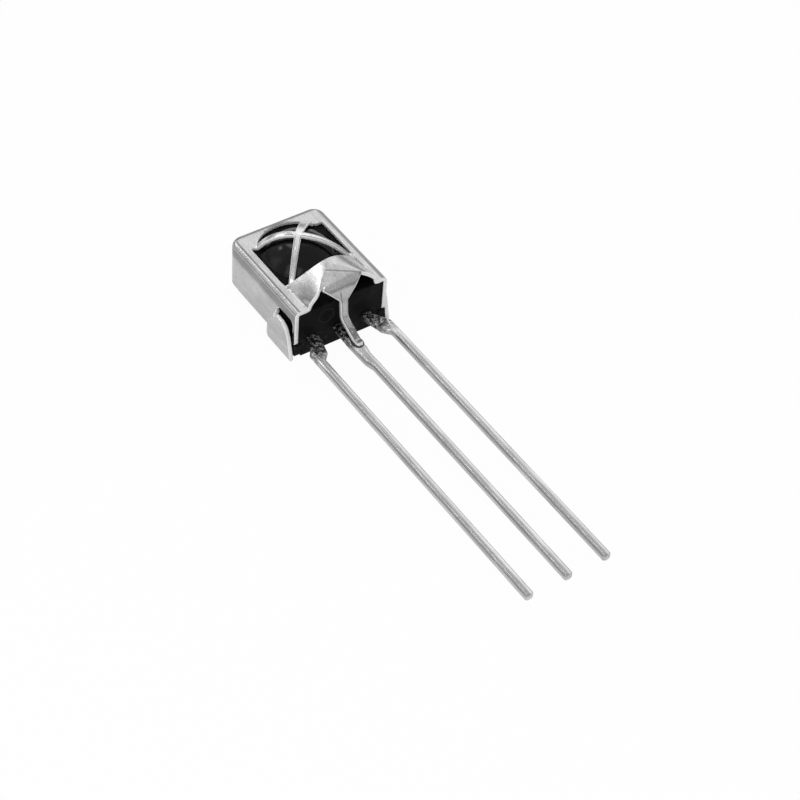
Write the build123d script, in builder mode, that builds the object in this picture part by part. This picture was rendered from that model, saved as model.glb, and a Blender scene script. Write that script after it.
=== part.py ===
from build123d import *
import os
from math import hypot

os.makedirs("parts", exist_ok=True)

# Infrared receiver lying on its flat back: +Z is the lens side, the leads run along -Y.
# The origin is on the resting face, midway between the sides, at the shield's front edge.

# Pressed tinplate shield
shield_width = 6.3
shield_length = 7.5
top_height = 3.6
sheet = 0.25
bend_radius = 0.32
corner_radius = 0.75
skirt_height = 0.5

# Window over the lens, and the two crossed ribs that guard it
window_half_width = 2.43
window_web = 0.25
window_corner_strip = 1.45
window_radius = 2.5
rib_width = 0.38
rib_rise = 1.33
rib_cross_from_back = 2.97
rib_back_across = 1.97
rib_back_along = 1.72
rib_front_across = 2.05
rib_front_along = 1.92
rib_foot = 0.5
rib_foot_radius = 0.4

# Hood pressed up between the window and the front edge
hood_half_width = 2.25
hood_back = 2.05
hood_rise_window = 1.18
hood_rise_front = 1.22
hood_lean_window = 1.1
hood_lean_front = -0.15
nose_start = 0.08
nose_radius = 1.2
nose_foot = -0.28
nose_half_width = 1.38

# Earthing tongue from the hood down to the middle lead
tongue_width = 0.48
tongue_drop = 0.2
tongue_knee_rise = 0.875
tongue_knee_forward = 0.42
tongue_landing = 1.72
tongue_end = 2.15
tongue_radius = 0.4

# Side ears, sheared from the walls, set outwards and folded under the moulding
ear_offset = 0.38
ear_gap = 0.16
ear_front = -0.2
ear_slope = 0.72
ear_shoulder = 0.45
ear_back = 1.45
ear_fold = 0.85
ear_radius = 0.3
hinge_top_along = 2.1
hinge_top_drop = 0.48
hinge_low_along = 3.05
joggle = 0.4
rail_height = 0.82
notch_radius = 0.35
leg_width = 0.3
leg_bottom = 1.12

# Moulded body and its lens
fit = 0.02
face_setback = 0.08
lug_height = 1.05
lug_length = 2.15
lug_width = 0.45
lens_radius = 2.2
lens_rise = 1.15

# Leads, stamped from one strip
pitch = 2.54
lead_width = 0.5
lead_thickness = 0.45
lead_height = 1.1
lead_reach = 21.7
root_width = 0.75
outer_root = 1.9
outer_splay_start = 0.3
outer_splay_end = 1.1
outer_shoulder = 1.85
outer_shoulder_end = 1.5
middle_shoulder_left = 0.6
middle_shoulder_right = 0.36
middle_shoulder_left_end = 3.55
middle_shoulder_right_end = 2.3
shoulder_taper = 0.45
pad_length = 1.0
paddle_half_width = 1.95
paddle_margin = 0.15
tip_radius = 0.1

# Chips, their attach layers and bond wires
attach = 0.04
chip_height = 0.28
diode_size = 1.6
amplifier_width = 1.5
amplifier_length = 0.8
chip_gap = 0.25
ground_reach = 1.0
wire_radius = 0.025
wire_loop = 0.35
landing = 0.15

# Joint between the tongue and the middle lead
solder_width = 0.7
solder_length = 1.0
solder_height = 0.4
solder_taper = 22
solder_forward = 0.2
solder_round = 0.08

# Sizes that follow from the ones above
half_width = shield_width / 2
under_top = top_height - sheet
rib_cross = shield_length - rib_cross_from_back
window_front = hood_back + window_web
window_corner = shield_length - window_corner_strip
notch_top = top_height - rail_height
hinge_top_height = notch_top - hinge_top_drop
ear_top = notch_top - ear_gap
tongue_top = top_height - tongue_drop
lead_bottom = lead_height - lead_thickness / 2
lead_top = lead_height + lead_thickness / 2
chip_base = lead_top + attach
chip_top = chip_base + chip_height
tongue_knee = lead_top + tongue_knee_rise
amplifier_place = rib_cross - diode_size / 2 - chip_gap - amplifier_length / 2
paddle_front = amplifier_place - amplifier_length / 2 - paddle_margin
paddle_back = rib_cross + diode_size / 2 + paddle_margin
ear_face = half_width + ear_offset
hood_top = top_height + hood_rise_front
lens_sphere = (lens_radius**2 + lens_rise**2) / (2 * lens_rise)


def hood_arch(half: float, top: float) -> Part:
    """Block under the hood's arch: round at the window, square-shouldered at the front edge."""
    with BuildPart() as arch:
        for place, rise, lean in (
            (hood_back, hood_rise_window, hood_lean_window),
            (0, hood_rise_front, hood_lean_front),
        ):
            peak = top + rise / 0.75
            with BuildSketch(Plane.XZ.offset(-place)):
                with BuildLine():
                    Bezier((-half, top), (lean - half, peak), (half - lean, peak), (half, top))
                    Polyline((half, top), (half, 0), (-half, 0), (-half, top))
                make_face()
        loft()
    return arch.part


# The outside of the hood, and the same arch one sheet smaller, which hollows it
with BuildPart() as hood_envelope:
    add(hood_arch(hood_half_width, top_height))

with BuildPart() as hood_hollow:
    add(hood_arch(hood_half_width - sheet, under_top))

# Room in front of the hood, with the same outline as its front edge
with BuildPart() as hood_front:
    with BuildSketch(Plane.XZ):
        add(hood_envelope.faces().sort_by(Axis.Y)[0])
    extrude(amount=tongue_end + sheet)

# Side view of the strap that closes the hood's nose and runs on as the earthing tongue
with BuildPart() as strap:
    with BuildSketch(Plane.YZ):
        with BuildLine():
            FilletPolyline(
                (hood_back, hood_top),
                (nose_start, hood_top),
                (nose_foot, tongue_top),
                (-tongue_knee_forward, tongue_knee),
                (-tongue_landing, lead_top + sheet),
                (-tongue_end, lead_top + sheet),
                radius=(nose_radius, tongue_radius, tongue_radius, tongue_radius),
            )
            offset(amount=sheet, side=Side.LEFT)
        make_face()
    extrude(amount=half_width, both=True)
    with BuildSketch(Plane.XZ.offset(-hood_back)):
        with BuildLine():
            Polyline(
                (0, 0),
                (tongue_width / 2, 0),
                (tongue_width / 2, tongue_top),
                (nose_half_width, hood_top - sheet),
                (nose_half_width, hood_top),
                (0, hood_top),
            )
            mirror(about=Plane.YZ)
        make_face()
    extrude(amount=hood_back + tongue_end + sheet, mode=Mode.INTERSECT)

# One rib over the lens, drawn upright along its own diagonal
rib_back_reach = hypot(rib_back_across, rib_back_along)
rib_front_reach = hypot(rib_front_across, rib_front_along)
rib_plane = Plane(
    origin=(0, rib_cross, top_height),
    x_dir=(rib_front_across, -rib_front_along, 0),
    z_dir=(-rib_front_along, -rib_front_across, 0),
)
with BuildPart() as rib:
    with BuildSketch(rib_plane):
        with BuildLine() as rib_line:
            Line((-rib_back_reach - rib_foot, 0), (-rib_back_reach, 0))
            ThreePointArc((-rib_back_reach, 0), (0, rib_rise), (rib_front_reach, 0))
            Line((rib_front_reach, 0), (rib_front_reach + rib_foot, 0))
            fillet(rib_line.vertices().sort_by(Axis((0, 0, 0), rib_plane.x_dir))[1:3], rib_foot_radius)
            offset(amount=sheet, side=Side.RIGHT)
        make_face()
    extrude(amount=rib_width / 2, both=True)

# Outline of what is cut from each side wall: the notch under the rail and all below the hinge
with BuildPart() as wall_notch:
    with BuildSketch(Plane.YZ) as notch_outline:
        with BuildLine():
            Polyline(
                (-sheet, 0),
                (-sheet, leg_bottom),
                (leg_width, leg_bottom),
                (leg_width, notch_top),
                (hinge_top_along - joggle, notch_top),
                (hinge_top_along, hinge_top_height),
                (hinge_low_along, skirt_height),
                (hinge_low_along, 0),
                close=True,
            )
        make_face()
        fillet(notch_outline.vertices().group_by(Axis.Y)[-1], notch_radius)
    extrude(amount=shield_width, both=True)

# Ear on the positive side: a plate outside the wall, folded in under the moulding
hinge_run = Vector(0, hinge_low_along - hinge_top_along, skirt_height - hinge_top_height).normalized()
hinge_step = Vector(0, hinge_run.Z, -hinge_run.Y)
with BuildPart() as ear:
    with BuildSketch(Plane.XZ.offset(-hinge_low_along)):
        with BuildLine():
            FilletPolyline(
                (ear_face, ear_top),
                (ear_face, 0),
                (ear_face - ear_fold, 0),
                radius=ear_radius,
            )
            offset(amount=sheet, side=Side.RIGHT)
        make_face()
    extrude(amount=hinge_low_along - ear_front)
    with BuildSketch(Plane.YZ) as ear_outline:
        step_y = hinge_step.Y * joggle
        step_z = hinge_step.Z * joggle
        with BuildLine():
            Polyline(
                (ear_front, 0),
                (ear_front, ear_top - ear_slope),
                (ear_shoulder, ear_top),
                (ear_back, ear_top),
                (hinge_top_along + step_y, hinge_top_height + step_z),
                (hinge_low_along + step_y, skirt_height + step_z),
                (hinge_low_along + 2 * step_y, 0),
                close=True,
            )
        make_face()
    extrude(amount=shield_width, mode=Mode.INTERSECT)

# Slanted step that joins the ear to the wall along the hinge line
hinge_plane = Plane(
    origin=(0, hinge_top_along, hinge_top_height),
    x_dir=(1, 0, 0),
    z_dir=hinge_run,
)
with BuildPart() as ear_step:
    with BuildSketch(hinge_plane):
        with BuildLine():
            Polyline(
                (half_width, -sheet),
                (half_width, 0),
                (ear_face, joggle),
                (ear_face, joggle + sheet),
                (ear_face - sheet, joggle + sheet),
                (ear_face - sheet, joggle),
                (half_width - sheet, 0),
                (half_width - sheet, -sheet),
                close=True,
            )
        make_face()
    extrude(amount=hypot(hinge_low_along - hinge_top_along, hinge_top_height - skirt_height))

# The hood: the arch, cut back to the curve of the nose, with the strap that closes it
with BuildPart() as hood:
    add(hood_envelope.part)
    with BuildSketch(Plane.YZ):
        with BuildLine():
            FilletPolyline(
                (hood_back, hood_top),
                (nose_start, hood_top),
                (nose_foot, tongue_top),
                radius=nose_radius,
            )
            Polyline(
                (nose_foot, tongue_top),
                (nose_foot, under_top),
                (hood_back, under_top),
                (hood_back, hood_top),
            )
        make_face()
    extrude(amount=half_width, both=True, mode=Mode.INTERSECT)
    add(hood_hollow.part, mode=Mode.SUBTRACT)
    add(strap.part & (hood_envelope.part + hood_front.part))

# The shield itself, bent and pressed from one sheet
with BuildPart() as tinplate_shield:
    with BuildSketch(Plane.XY.offset(skirt_height)) as shield_plan:
        Rectangle(shield_width, shield_length, align=(Align.CENTER, Align.MIN))
        fillet(shield_plan.vertices().group_by(Axis.Y)[-1], corner_radius)
    extrude(amount=top_height - skirt_height)
    top_face = tinplate_shield.faces().sort_by(Axis.Z)[-1]
    fillet(top_face.edges().sort_by(Axis.Y)[1:], bend_radius)
    open_faces = [tinplate_shield.faces().sort_by(Axis.Z)[0], tinplate_shield.faces().sort_by(Axis.Y)[0]]
    offset(amount=-sheet, openings=open_faces)
    # Window: a round opening about the lens, widened to a rectangle where the ribs spring
    with BuildSketch(Plane.XY.offset(top_height)):
        with Locations((0, rib_cross)):
            Circle(window_radius)
        with Locations((0, window_front)):
            Rectangle(2 * window_half_width, window_corner - window_front, align=(Align.CENTER, Align.MIN))
        Rectangle(2 * (hood_half_width - sheet), hood_back, align=(Align.CENTER, Align.MIN))
    extrude(amount=-2 * sheet, mode=Mode.SUBTRACT)
    add(wall_notch.part, mode=Mode.SUBTRACT)
    add(ear.part)
    add(ear_step.part)
    add(rib.part)
    mirror(ear.part, about=Plane.YZ)
    mirror(ear_step.part, about=Plane.YZ)
    mirror(rib.part, about=Plane.YZ)
    add(hood.part)

# Middle lead, which carries the paddle under the chips and is earthed to the shield
with BuildPart() as ground_lead:
    with BuildSketch(Plane.XY.offset(lead_bottom)):
        with BuildLine():
            Polyline(
                (-lead_width / 2, -lead_reach),
                (lead_width / 2, -lead_reach),
                (lead_width / 2, -middle_shoulder_right_end - shoulder_taper),
                (middle_shoulder_right, -middle_shoulder_right_end),
                (middle_shoulder_right, paddle_front),
                (paddle_half_width, paddle_front),
                (paddle_half_width, paddle_back),
                (-paddle_half_width, paddle_back),
                (-paddle_half_width, paddle_front),
                (-middle_shoulder_left, paddle_front),
                (-middle_shoulder_left, -middle_shoulder_left_end),
                (-lead_width / 2, -middle_shoulder_left_end - shoulder_taper),
                close=True,
            )
        make_face()
    extrude(amount=lead_thickness)
    tip_edges = ground_lead.faces().sort_by(Axis.Y)[0].edges().filter_by(Axis.Z)
    fillet(tip_edges, tip_radius)

# Outer lead on the positive side, which splays outwards to the common pitch
outer_edge = outer_root + root_width / 2
inner_edge = outer_root - root_width / 2
with BuildPart() as supply_lead:
    with BuildSketch(Plane.XY.offset(lead_bottom)):
        with BuildLine():
            Polyline(
                (pitch - lead_width / 2, -lead_reach),
                (pitch + lead_width / 2, -lead_reach),
                (pitch + lead_width / 2, -outer_splay_end),
                (outer_edge, -outer_splay_start),
                (outer_edge, pad_length),
                (inner_edge, pad_length),
                (inner_edge, -outer_splay_start),
                (outer_shoulder, -outer_shoulder_end),
                (pitch - lead_width / 2, -outer_shoulder_end - shoulder_taper),
                close=True,
            )
        make_face()
    extrude(amount=lead_thickness)
    tip_edges = supply_lead.faces().sort_by(Axis.Y)[0].edges().filter_by(Axis.Z)
    fillet(tip_edges, tip_radius)

with BuildPart() as output_lead:
    mirror(supply_lead.part, about=Plane.YZ)

# Chips, each on a thin layer of die attach
with BuildPart() as photodiode_attach_layer:
    with BuildSketch(Plane.XY.offset(lead_top)):
        with Locations((0, rib_cross)):
            Rectangle(diode_size, diode_size)
    extrude(amount=attach)

with BuildPart() as photodiode_chip:
    with BuildSketch(Plane.XY.offset(chip_base)):
        with Locations((0, rib_cross)):
            Rectangle(diode_size, diode_size)
    extrude(amount=chip_height)

with BuildPart() as amplifier_attach_layer:
    with BuildSketch(Plane.XY.offset(lead_top)):
        with Locations((0, amplifier_place)):
            Rectangle(amplifier_width, amplifier_length)
    extrude(amount=attach)

with BuildPart() as amplifier_chip:
    with BuildSketch(Plane.XY.offset(chip_base)):
        with Locations((0, amplifier_place)):
            Rectangle(amplifier_width, amplifier_length)
    extrude(amount=chip_height)


def bond_wire(start: tuple, end: tuple) -> Part:
    """One gold wire, with eight flats, that arches from its first pad down to its second."""
    with BuildPart() as wire:
        with BuildLine() as path:
            middle = (Vector(start) + Vector(end)) / 2 + Vector(0, 0, wire_loop)
            ThreePointArc(start, middle, end)
        with BuildSketch(Plane(origin=path.line @ 0, z_dir=path.line % 0)):
            RegularPolygon(wire_radius, 8)
        sweep()
    return wire.part


# Bond wires, which land a little inside the edges of their pads
diode_pad = rib_cross - diode_size / 2 + landing
amplifier_back_pad = amplifier_place + amplifier_length / 2 - landing
amplifier_front_pad = amplifier_place - amplifier_length / 2 + landing
amplifier_side_pad = amplifier_width / 2 - landing
ground_landing = amplifier_place - amplifier_length / 2 - ground_reach
lead_pad = pad_length - landing

with BuildPart() as photodiode_bond_wire:
    add(bond_wire((0, diode_pad, chip_top), (0, amplifier_back_pad, chip_top)))

with BuildPart() as ground_bond_wire:
    add(bond_wire((0, amplifier_front_pad, chip_top), (0, ground_landing, lead_top)))

with BuildPart() as supply_bond_wire:
    add(bond_wire((amplifier_side_pad, amplifier_front_pad, chip_top), (outer_root, lead_pad, lead_top)))

with BuildPart() as output_bond_wire:
    mirror(supply_bond_wire.part, about=Plane.YZ)

# Solder that joins the tongue to the middle lead
with BuildPart() as shield_solder_joint:
    with BuildSketch(Plane.XY.offset(lead_top)):
        with Locations((0, -tongue_landing - solder_forward)):
            SlotOverall(solder_length, solder_width, rotation=90)
    extrude(amount=solder_height, taper=solder_taper)
    fillet(shield_solder_joint.faces().sort_by(Axis.Z)[-1].edges(), solder_round)
    add(strap.part, mode=Mode.SUBTRACT)

# Moulded body, cast round everything inside it
with BuildPart() as moulded_body:
    with BuildSketch() as body_plan:
        with Locations((0, face_setback)):
            Rectangle(
                shield_width - 2 * (sheet + fit),
                shield_length - sheet - fit - face_setback,
                align=(Align.CENTER, Align.MIN),
            )
        fillet(body_plan.vertices().group_by(Axis.Y)[-1], corner_radius - sheet - fit)
    extrude(amount=under_top)
    top_face = moulded_body.faces().sort_by(Axis.Z)[-1]
    fillet(top_face.edges().sort_by(Axis.Y)[1:], bend_radius - sheet + fit)
    # Lugs behind the ears, as wide as the shield and flush with its front edge
    with BuildSketch():
        with Locations((half_width, 0)):
            Rectangle(lug_width, lug_length, align=(Align.MAX, Align.MIN))
        mirror(about=Plane.YZ)
    extrude(amount=lug_height)
    # Lens, a spherical cap under the crossing of the ribs
    with BuildSketch(Plane.XZ.offset(-rib_cross)):
        with BuildLine():
            RadiusArc((0, under_top + lens_rise), (lens_radius, under_top), lens_sphere)
            Polyline(
                (lens_radius, under_top),
                (lens_radius, chip_base),
                (0, chip_base),
                (0, under_top + lens_rise),
            )
        make_face()
    revolve(axis=Axis((0, rib_cross, 0), (0, 0, 1)))
    # Shallow beds in the back that take the folded ends of the ears
    with BuildSketch():
        with Locations((half_width, 0)):
            Rectangle(
                half_width - ear_face + ear_fold + fit,
                hinge_low_along + step_y + fit,
                align=(Align.MAX, Align.MIN),
            )
        mirror(about=Plane.YZ)
    extrude(amount=sheet, mode=Mode.SUBTRACT)
    add(ground_lead.part, mode=Mode.SUBTRACT)
    add(supply_lead.part, mode=Mode.SUBTRACT)
    add(output_lead.part, mode=Mode.SUBTRACT)
    add(photodiode_attach_layer.part, mode=Mode.SUBTRACT)
    add(photodiode_chip.part, mode=Mode.SUBTRACT)
    add(amplifier_attach_layer.part, mode=Mode.SUBTRACT)
    add(amplifier_chip.part, mode=Mode.SUBTRACT)
    add(photodiode_bond_wire.part, mode=Mode.SUBTRACT)
    add(ground_bond_wire.part, mode=Mode.SUBTRACT)
    add(supply_bond_wire.part, mode=Mode.SUBTRACT)
    add(output_bond_wire.part, mode=Mode.SUBTRACT)

tinplate_shield.part.label = "tinplate_shield"
moulded_body.part.label = "moulded_body"
output_lead.part.label = "output_lead"
ground_lead.part.label = "ground_lead"
supply_lead.part.label = "supply_lead"
shield_solder_joint.part.label = "shield_solder_joint"
photodiode_attach_layer.part.label = "photodiode_attach_layer"
photodiode_chip.part.label = "photodiode_chip"
amplifier_attach_layer.part.label = "amplifier_attach_layer"
amplifier_chip.part.label = "amplifier_chip"
photodiode_bond_wire.part.label = "photodiode_bond_wire"
ground_bond_wire.part.label = "ground_bond_wire"
supply_bond_wire.part.label = "supply_bond_wire"
output_bond_wire.part.label = "output_bond_wire"

export_step(tinplate_shield.part, "parts/tinplate_shield.step")
export_step(moulded_body.part, "parts/moulded_body.step")
export_step(output_lead.part, "parts/output_lead.step")
export_step(ground_lead.part, "parts/ground_lead.step")
export_step(supply_lead.part, "parts/supply_lead.step")
export_step(shield_solder_joint.part, "parts/shield_solder_joint.step")
export_step(photodiode_attach_layer.part, "parts/photodiode_attach_layer.step")
export_step(photodiode_chip.part, "parts/photodiode_chip.step")
export_step(amplifier_attach_layer.part, "parts/amplifier_attach_layer.step")
export_step(amplifier_chip.part, "parts/amplifier_chip.step")
export_step(photodiode_bond_wire.part, "parts/photodiode_bond_wire.step")
export_step(ground_bond_wire.part, "parts/ground_bond_wire.step")
export_step(supply_bond_wire.part, "parts/supply_bond_wire.step")
export_step(output_bond_wire.part, "parts/output_bond_wire.step")
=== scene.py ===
import logging
import math
from contextlib import contextmanager
from dataclasses import dataclass, field
from enum import Enum
from typing import Any, Iterator, Sequence

import bmesh
import bpy
import numpy as np
from mathutils import Matrix, Vector


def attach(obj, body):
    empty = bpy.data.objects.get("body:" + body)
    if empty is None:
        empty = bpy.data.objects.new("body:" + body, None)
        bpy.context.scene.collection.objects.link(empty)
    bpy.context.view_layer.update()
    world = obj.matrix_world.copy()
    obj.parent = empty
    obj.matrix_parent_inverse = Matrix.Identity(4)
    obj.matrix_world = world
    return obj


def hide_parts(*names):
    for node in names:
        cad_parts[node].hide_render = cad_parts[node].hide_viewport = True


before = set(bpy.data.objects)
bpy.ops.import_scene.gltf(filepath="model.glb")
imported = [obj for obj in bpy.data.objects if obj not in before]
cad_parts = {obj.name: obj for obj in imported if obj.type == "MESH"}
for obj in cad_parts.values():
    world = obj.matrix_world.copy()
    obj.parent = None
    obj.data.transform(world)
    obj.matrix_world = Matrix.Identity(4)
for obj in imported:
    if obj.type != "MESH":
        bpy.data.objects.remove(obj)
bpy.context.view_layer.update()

log = logging.getLogger("receiver")

# One millimetre in metres. Every size below is in millimetres.
MM = 0.001

Grid = np.ndarray
Numbers = float | np.ndarray
Pair = tuple[float, float]
Triple = tuple[float, float, float]


# Shader maths


class Value:
    """A number in a shader: wraps one socket, so that plain Python maths adds Math nodes."""

    def __init__(self, graph: "Graph", socket: bpy.types.NodeSocket) -> None:
        """Keep the graph and the socket."""
        self.graph = graph
        self.socket = socket

    def _math(self, operation: str, *operands: Any) -> "Value":
        """Add one Math node.

        Args:
            operation: Blender's name of the operation.
            operands: Values or plain numbers, in the order of the node's sockets.

        Returns:
            The node's result.
        """
        made = self.graph.node("ShaderNodeMath", {"operation": operation}, *operands)
        return Value(self.graph, made.outputs[0])

    def __add__(self, other: Any) -> "Value":
        """Sum."""
        return self._math("ADD", self, other)

    def __radd__(self, other: Any) -> "Value":
        """Sum, number first."""
        return self._math("ADD", other, self)

    def __sub__(self, other: Any) -> "Value":
        """Difference."""
        return self._math("SUBTRACT", self, other)

    def __rsub__(self, other: Any) -> "Value":
        """Difference, number first."""
        return self._math("SUBTRACT", other, self)

    def __mul__(self, other: Any) -> "Value":
        """Product."""
        return self._math("MULTIPLY", self, other)

    def __rmul__(self, other: Any) -> "Value":
        """Product, number first."""
        return self._math("MULTIPLY", other, self)

    def __truediv__(self, other: Any) -> "Value":
        """Quotient."""
        return self._math("DIVIDE", self, other)

    def __rtruediv__(self, other: Any) -> "Value":
        """Quotient, number first."""
        return self._math("DIVIDE", other, self)

    def __pow__(self, other: Any) -> "Value":
        """Power."""
        return self._math("POWER", self, other)

    def __rpow__(self, other: Any) -> "Value":
        """Power, number first."""
        return self._math("POWER", other, self)

    def __abs__(self) -> "Value":
        """Size without its sign."""
        return self._math("ABSOLUTE", self)

    def root(self) -> "Value":
        """Square root."""
        return self._math("SQRT", self)

    def least(self, other: Any) -> "Value":
        """Smaller of two."""
        return self._math("MINIMUM", self, other)

    def most(self, other: Any) -> "Value":
        """Larger of two."""
        return self._math("MAXIMUM", self, other)

    def step(self, low: float, high: float) -> "Value":
        """Rise smoothly from 0 at low to 1 at high, or fall where low is the larger.

        Args:
            low: Input at which the result is 0.
            high: Input at which the result is 1.

        Returns:
            The eased value.
        """
        flip = low > high
        made = self.graph.node(
            "ShaderNodeMapRange", {"interpolation_type": "SMOOTHSTEP"}, Value=self,
            From_Min=min(low, high), From_Max=max(low, high),
            To_Min=float(flip), To_Max=float(not flip),
        )
        return Value(self.graph, made.outputs["Result"])


class Graph:
    """A node tree, with one way to add any node to it."""

    def __init__(self, tree: bpy.types.NodeTree) -> None:
        """Start from an empty tree."""
        self.tree = tree
        tree.nodes.clear()

    def node(
        self, kind: str, settings: dict[str, Any] | None = None, *inputs: Any, **sockets: Any
    ) -> bpy.types.Node:
        """Add any node.

        Args:
            kind: The node's type.
            settings: Its properties, set before its sockets.
            inputs: Values or links of its first sockets, in their order.
            sockets: Values or links, by socket name with underscores for blanks.

        Returns:
            The new node.
        """
        made = self.tree.nodes.new(kind)
        for key, value in (settings or {}).items():
            setattr(made, key, value)
        for socket, value in zip(made.inputs, inputs):
            self.feed(socket, value)
        for key, value in sockets.items():
            self.feed(made.inputs[key.replace("_", " ")], value)
        return made

    def feed(self, socket: bpy.types.NodeSocket, value: Any) -> None:
        """Set a socket or link it.

        Args:
            socket: The socket to fill.
            value: A Value, another node's output, or a plain value.
        """
        source = value.socket if isinstance(value, Value) else value
        if isinstance(source, bpy.types.NodeSocket):
            self.tree.links.new(source, socket)
        else:
            socket.default_value = source


class Shader(Graph):
    """One material, with short ways to add to its nodes."""

    def __init__(self, name: str) -> None:
        """Start an empty material.

        Args:
            name: The material's name.
        """
        self.material = bpy.data.materials.new(name)
        self.material.use_nodes = True
        super().__init__(self.material.node_tree)
        self.out = self.node("ShaderNodeOutputMaterial")
        self.place = self.node("ShaderNodeTexCoord").outputs["Object"]

    def axes(self) -> tuple[Value, Value, Value]:
        """Object coordinates in millimetres, one value an axis."""
        split = self.node("ShaderNodeSeparateXYZ", Vector=self.place)
        return tuple(Value(self, output) * (1 / MM) for output in split.outputs)

    def noise(self, across: float, along: float, up: float, detail: float, rough: float) -> Value:
        """Cloudy noise between 0 and 1.

        Args:
            across: Features per millimetre on X.
            along: Features per millimetre on Y.
            up: Features per millimetre on Z.
            detail: Octaves.
            rough: How strong the fine octaves are.

        Returns:
            The noise.
        """
        scale = (across / MM, along / MM, up / MM)
        mapping = self.node("ShaderNodeMapping", Vector=self.place, Scale=scale)
        made = self.node(
            "ShaderNodeTexNoise",
            Vector=mapping.outputs["Vector"], Scale=1.0, Detail=detail, Roughness=rough,
        )
        return Value(self, made.outputs[0])

    def even(self, scale: float, detail: float, rough: float) -> Value:
        """Noise with as many features per millimetre on every axis."""
        return self.noise(scale, scale, scale, detail, rough)

    def blend(self, factor: Any, low: Any, high: Any) -> bpy.types.NodeSocket:
        """Mix two colours.

        Args:
            factor: 0 gives low and 1 gives high.
            low: First colour, a triple or a link.
            high: Second colour, a triple or a link.

        Returns:
            The mixed colour.
        """
        mix = self.node("ShaderNodeMix", {"data_type": "RGBA"}, factor)
        for socket, colour in ((mix.inputs[6], low), (mix.inputs[7], high)):
            linked = isinstance(colour, bpy.types.NodeSocket)
            self.feed(socket, colour if linked else (*colour, 1.0))
        return mix.outputs[2]

    def grey(self, tone: Value, dull: float, bright: float) -> bpy.types.NodeSocket:
        """Grey between dull and bright, by a tone that is held between 0 and 1."""
        return self.blend(tone.most(0.0).least(1.0), (dull,) * 3, (bright,) * 3)

    def bump(self, height: Value, depth: float) -> bpy.types.NodeSocket:
        """Normal bent by a height.

        Args:
            height: Height between 0 and 1.
            depth: What a height of 1 stands for, in millimetres.

        Returns:
            The bent normal.
        """
        made = self.node("ShaderNodeBump", Height=height, Strength=1.0, Distance=depth * MM)
        return made.outputs["Normal"]

    def surface(self, **sockets: Any) -> bpy.types.Material:
        """Finish with one Principled surface.

        Args:
            sockets: Its sockets, by name with underscores for blanks.

        Returns:
            The finished material.
        """
        made = self.node("ShaderNodeBsdfPrincipled", **sockets)
        self.feed(self.out.inputs["Surface"], made.outputs[0])
        return self.material


# Finishes. In a pair, a mark starts to show at the first number and is full at the second;
# only a centre is a place.


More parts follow.
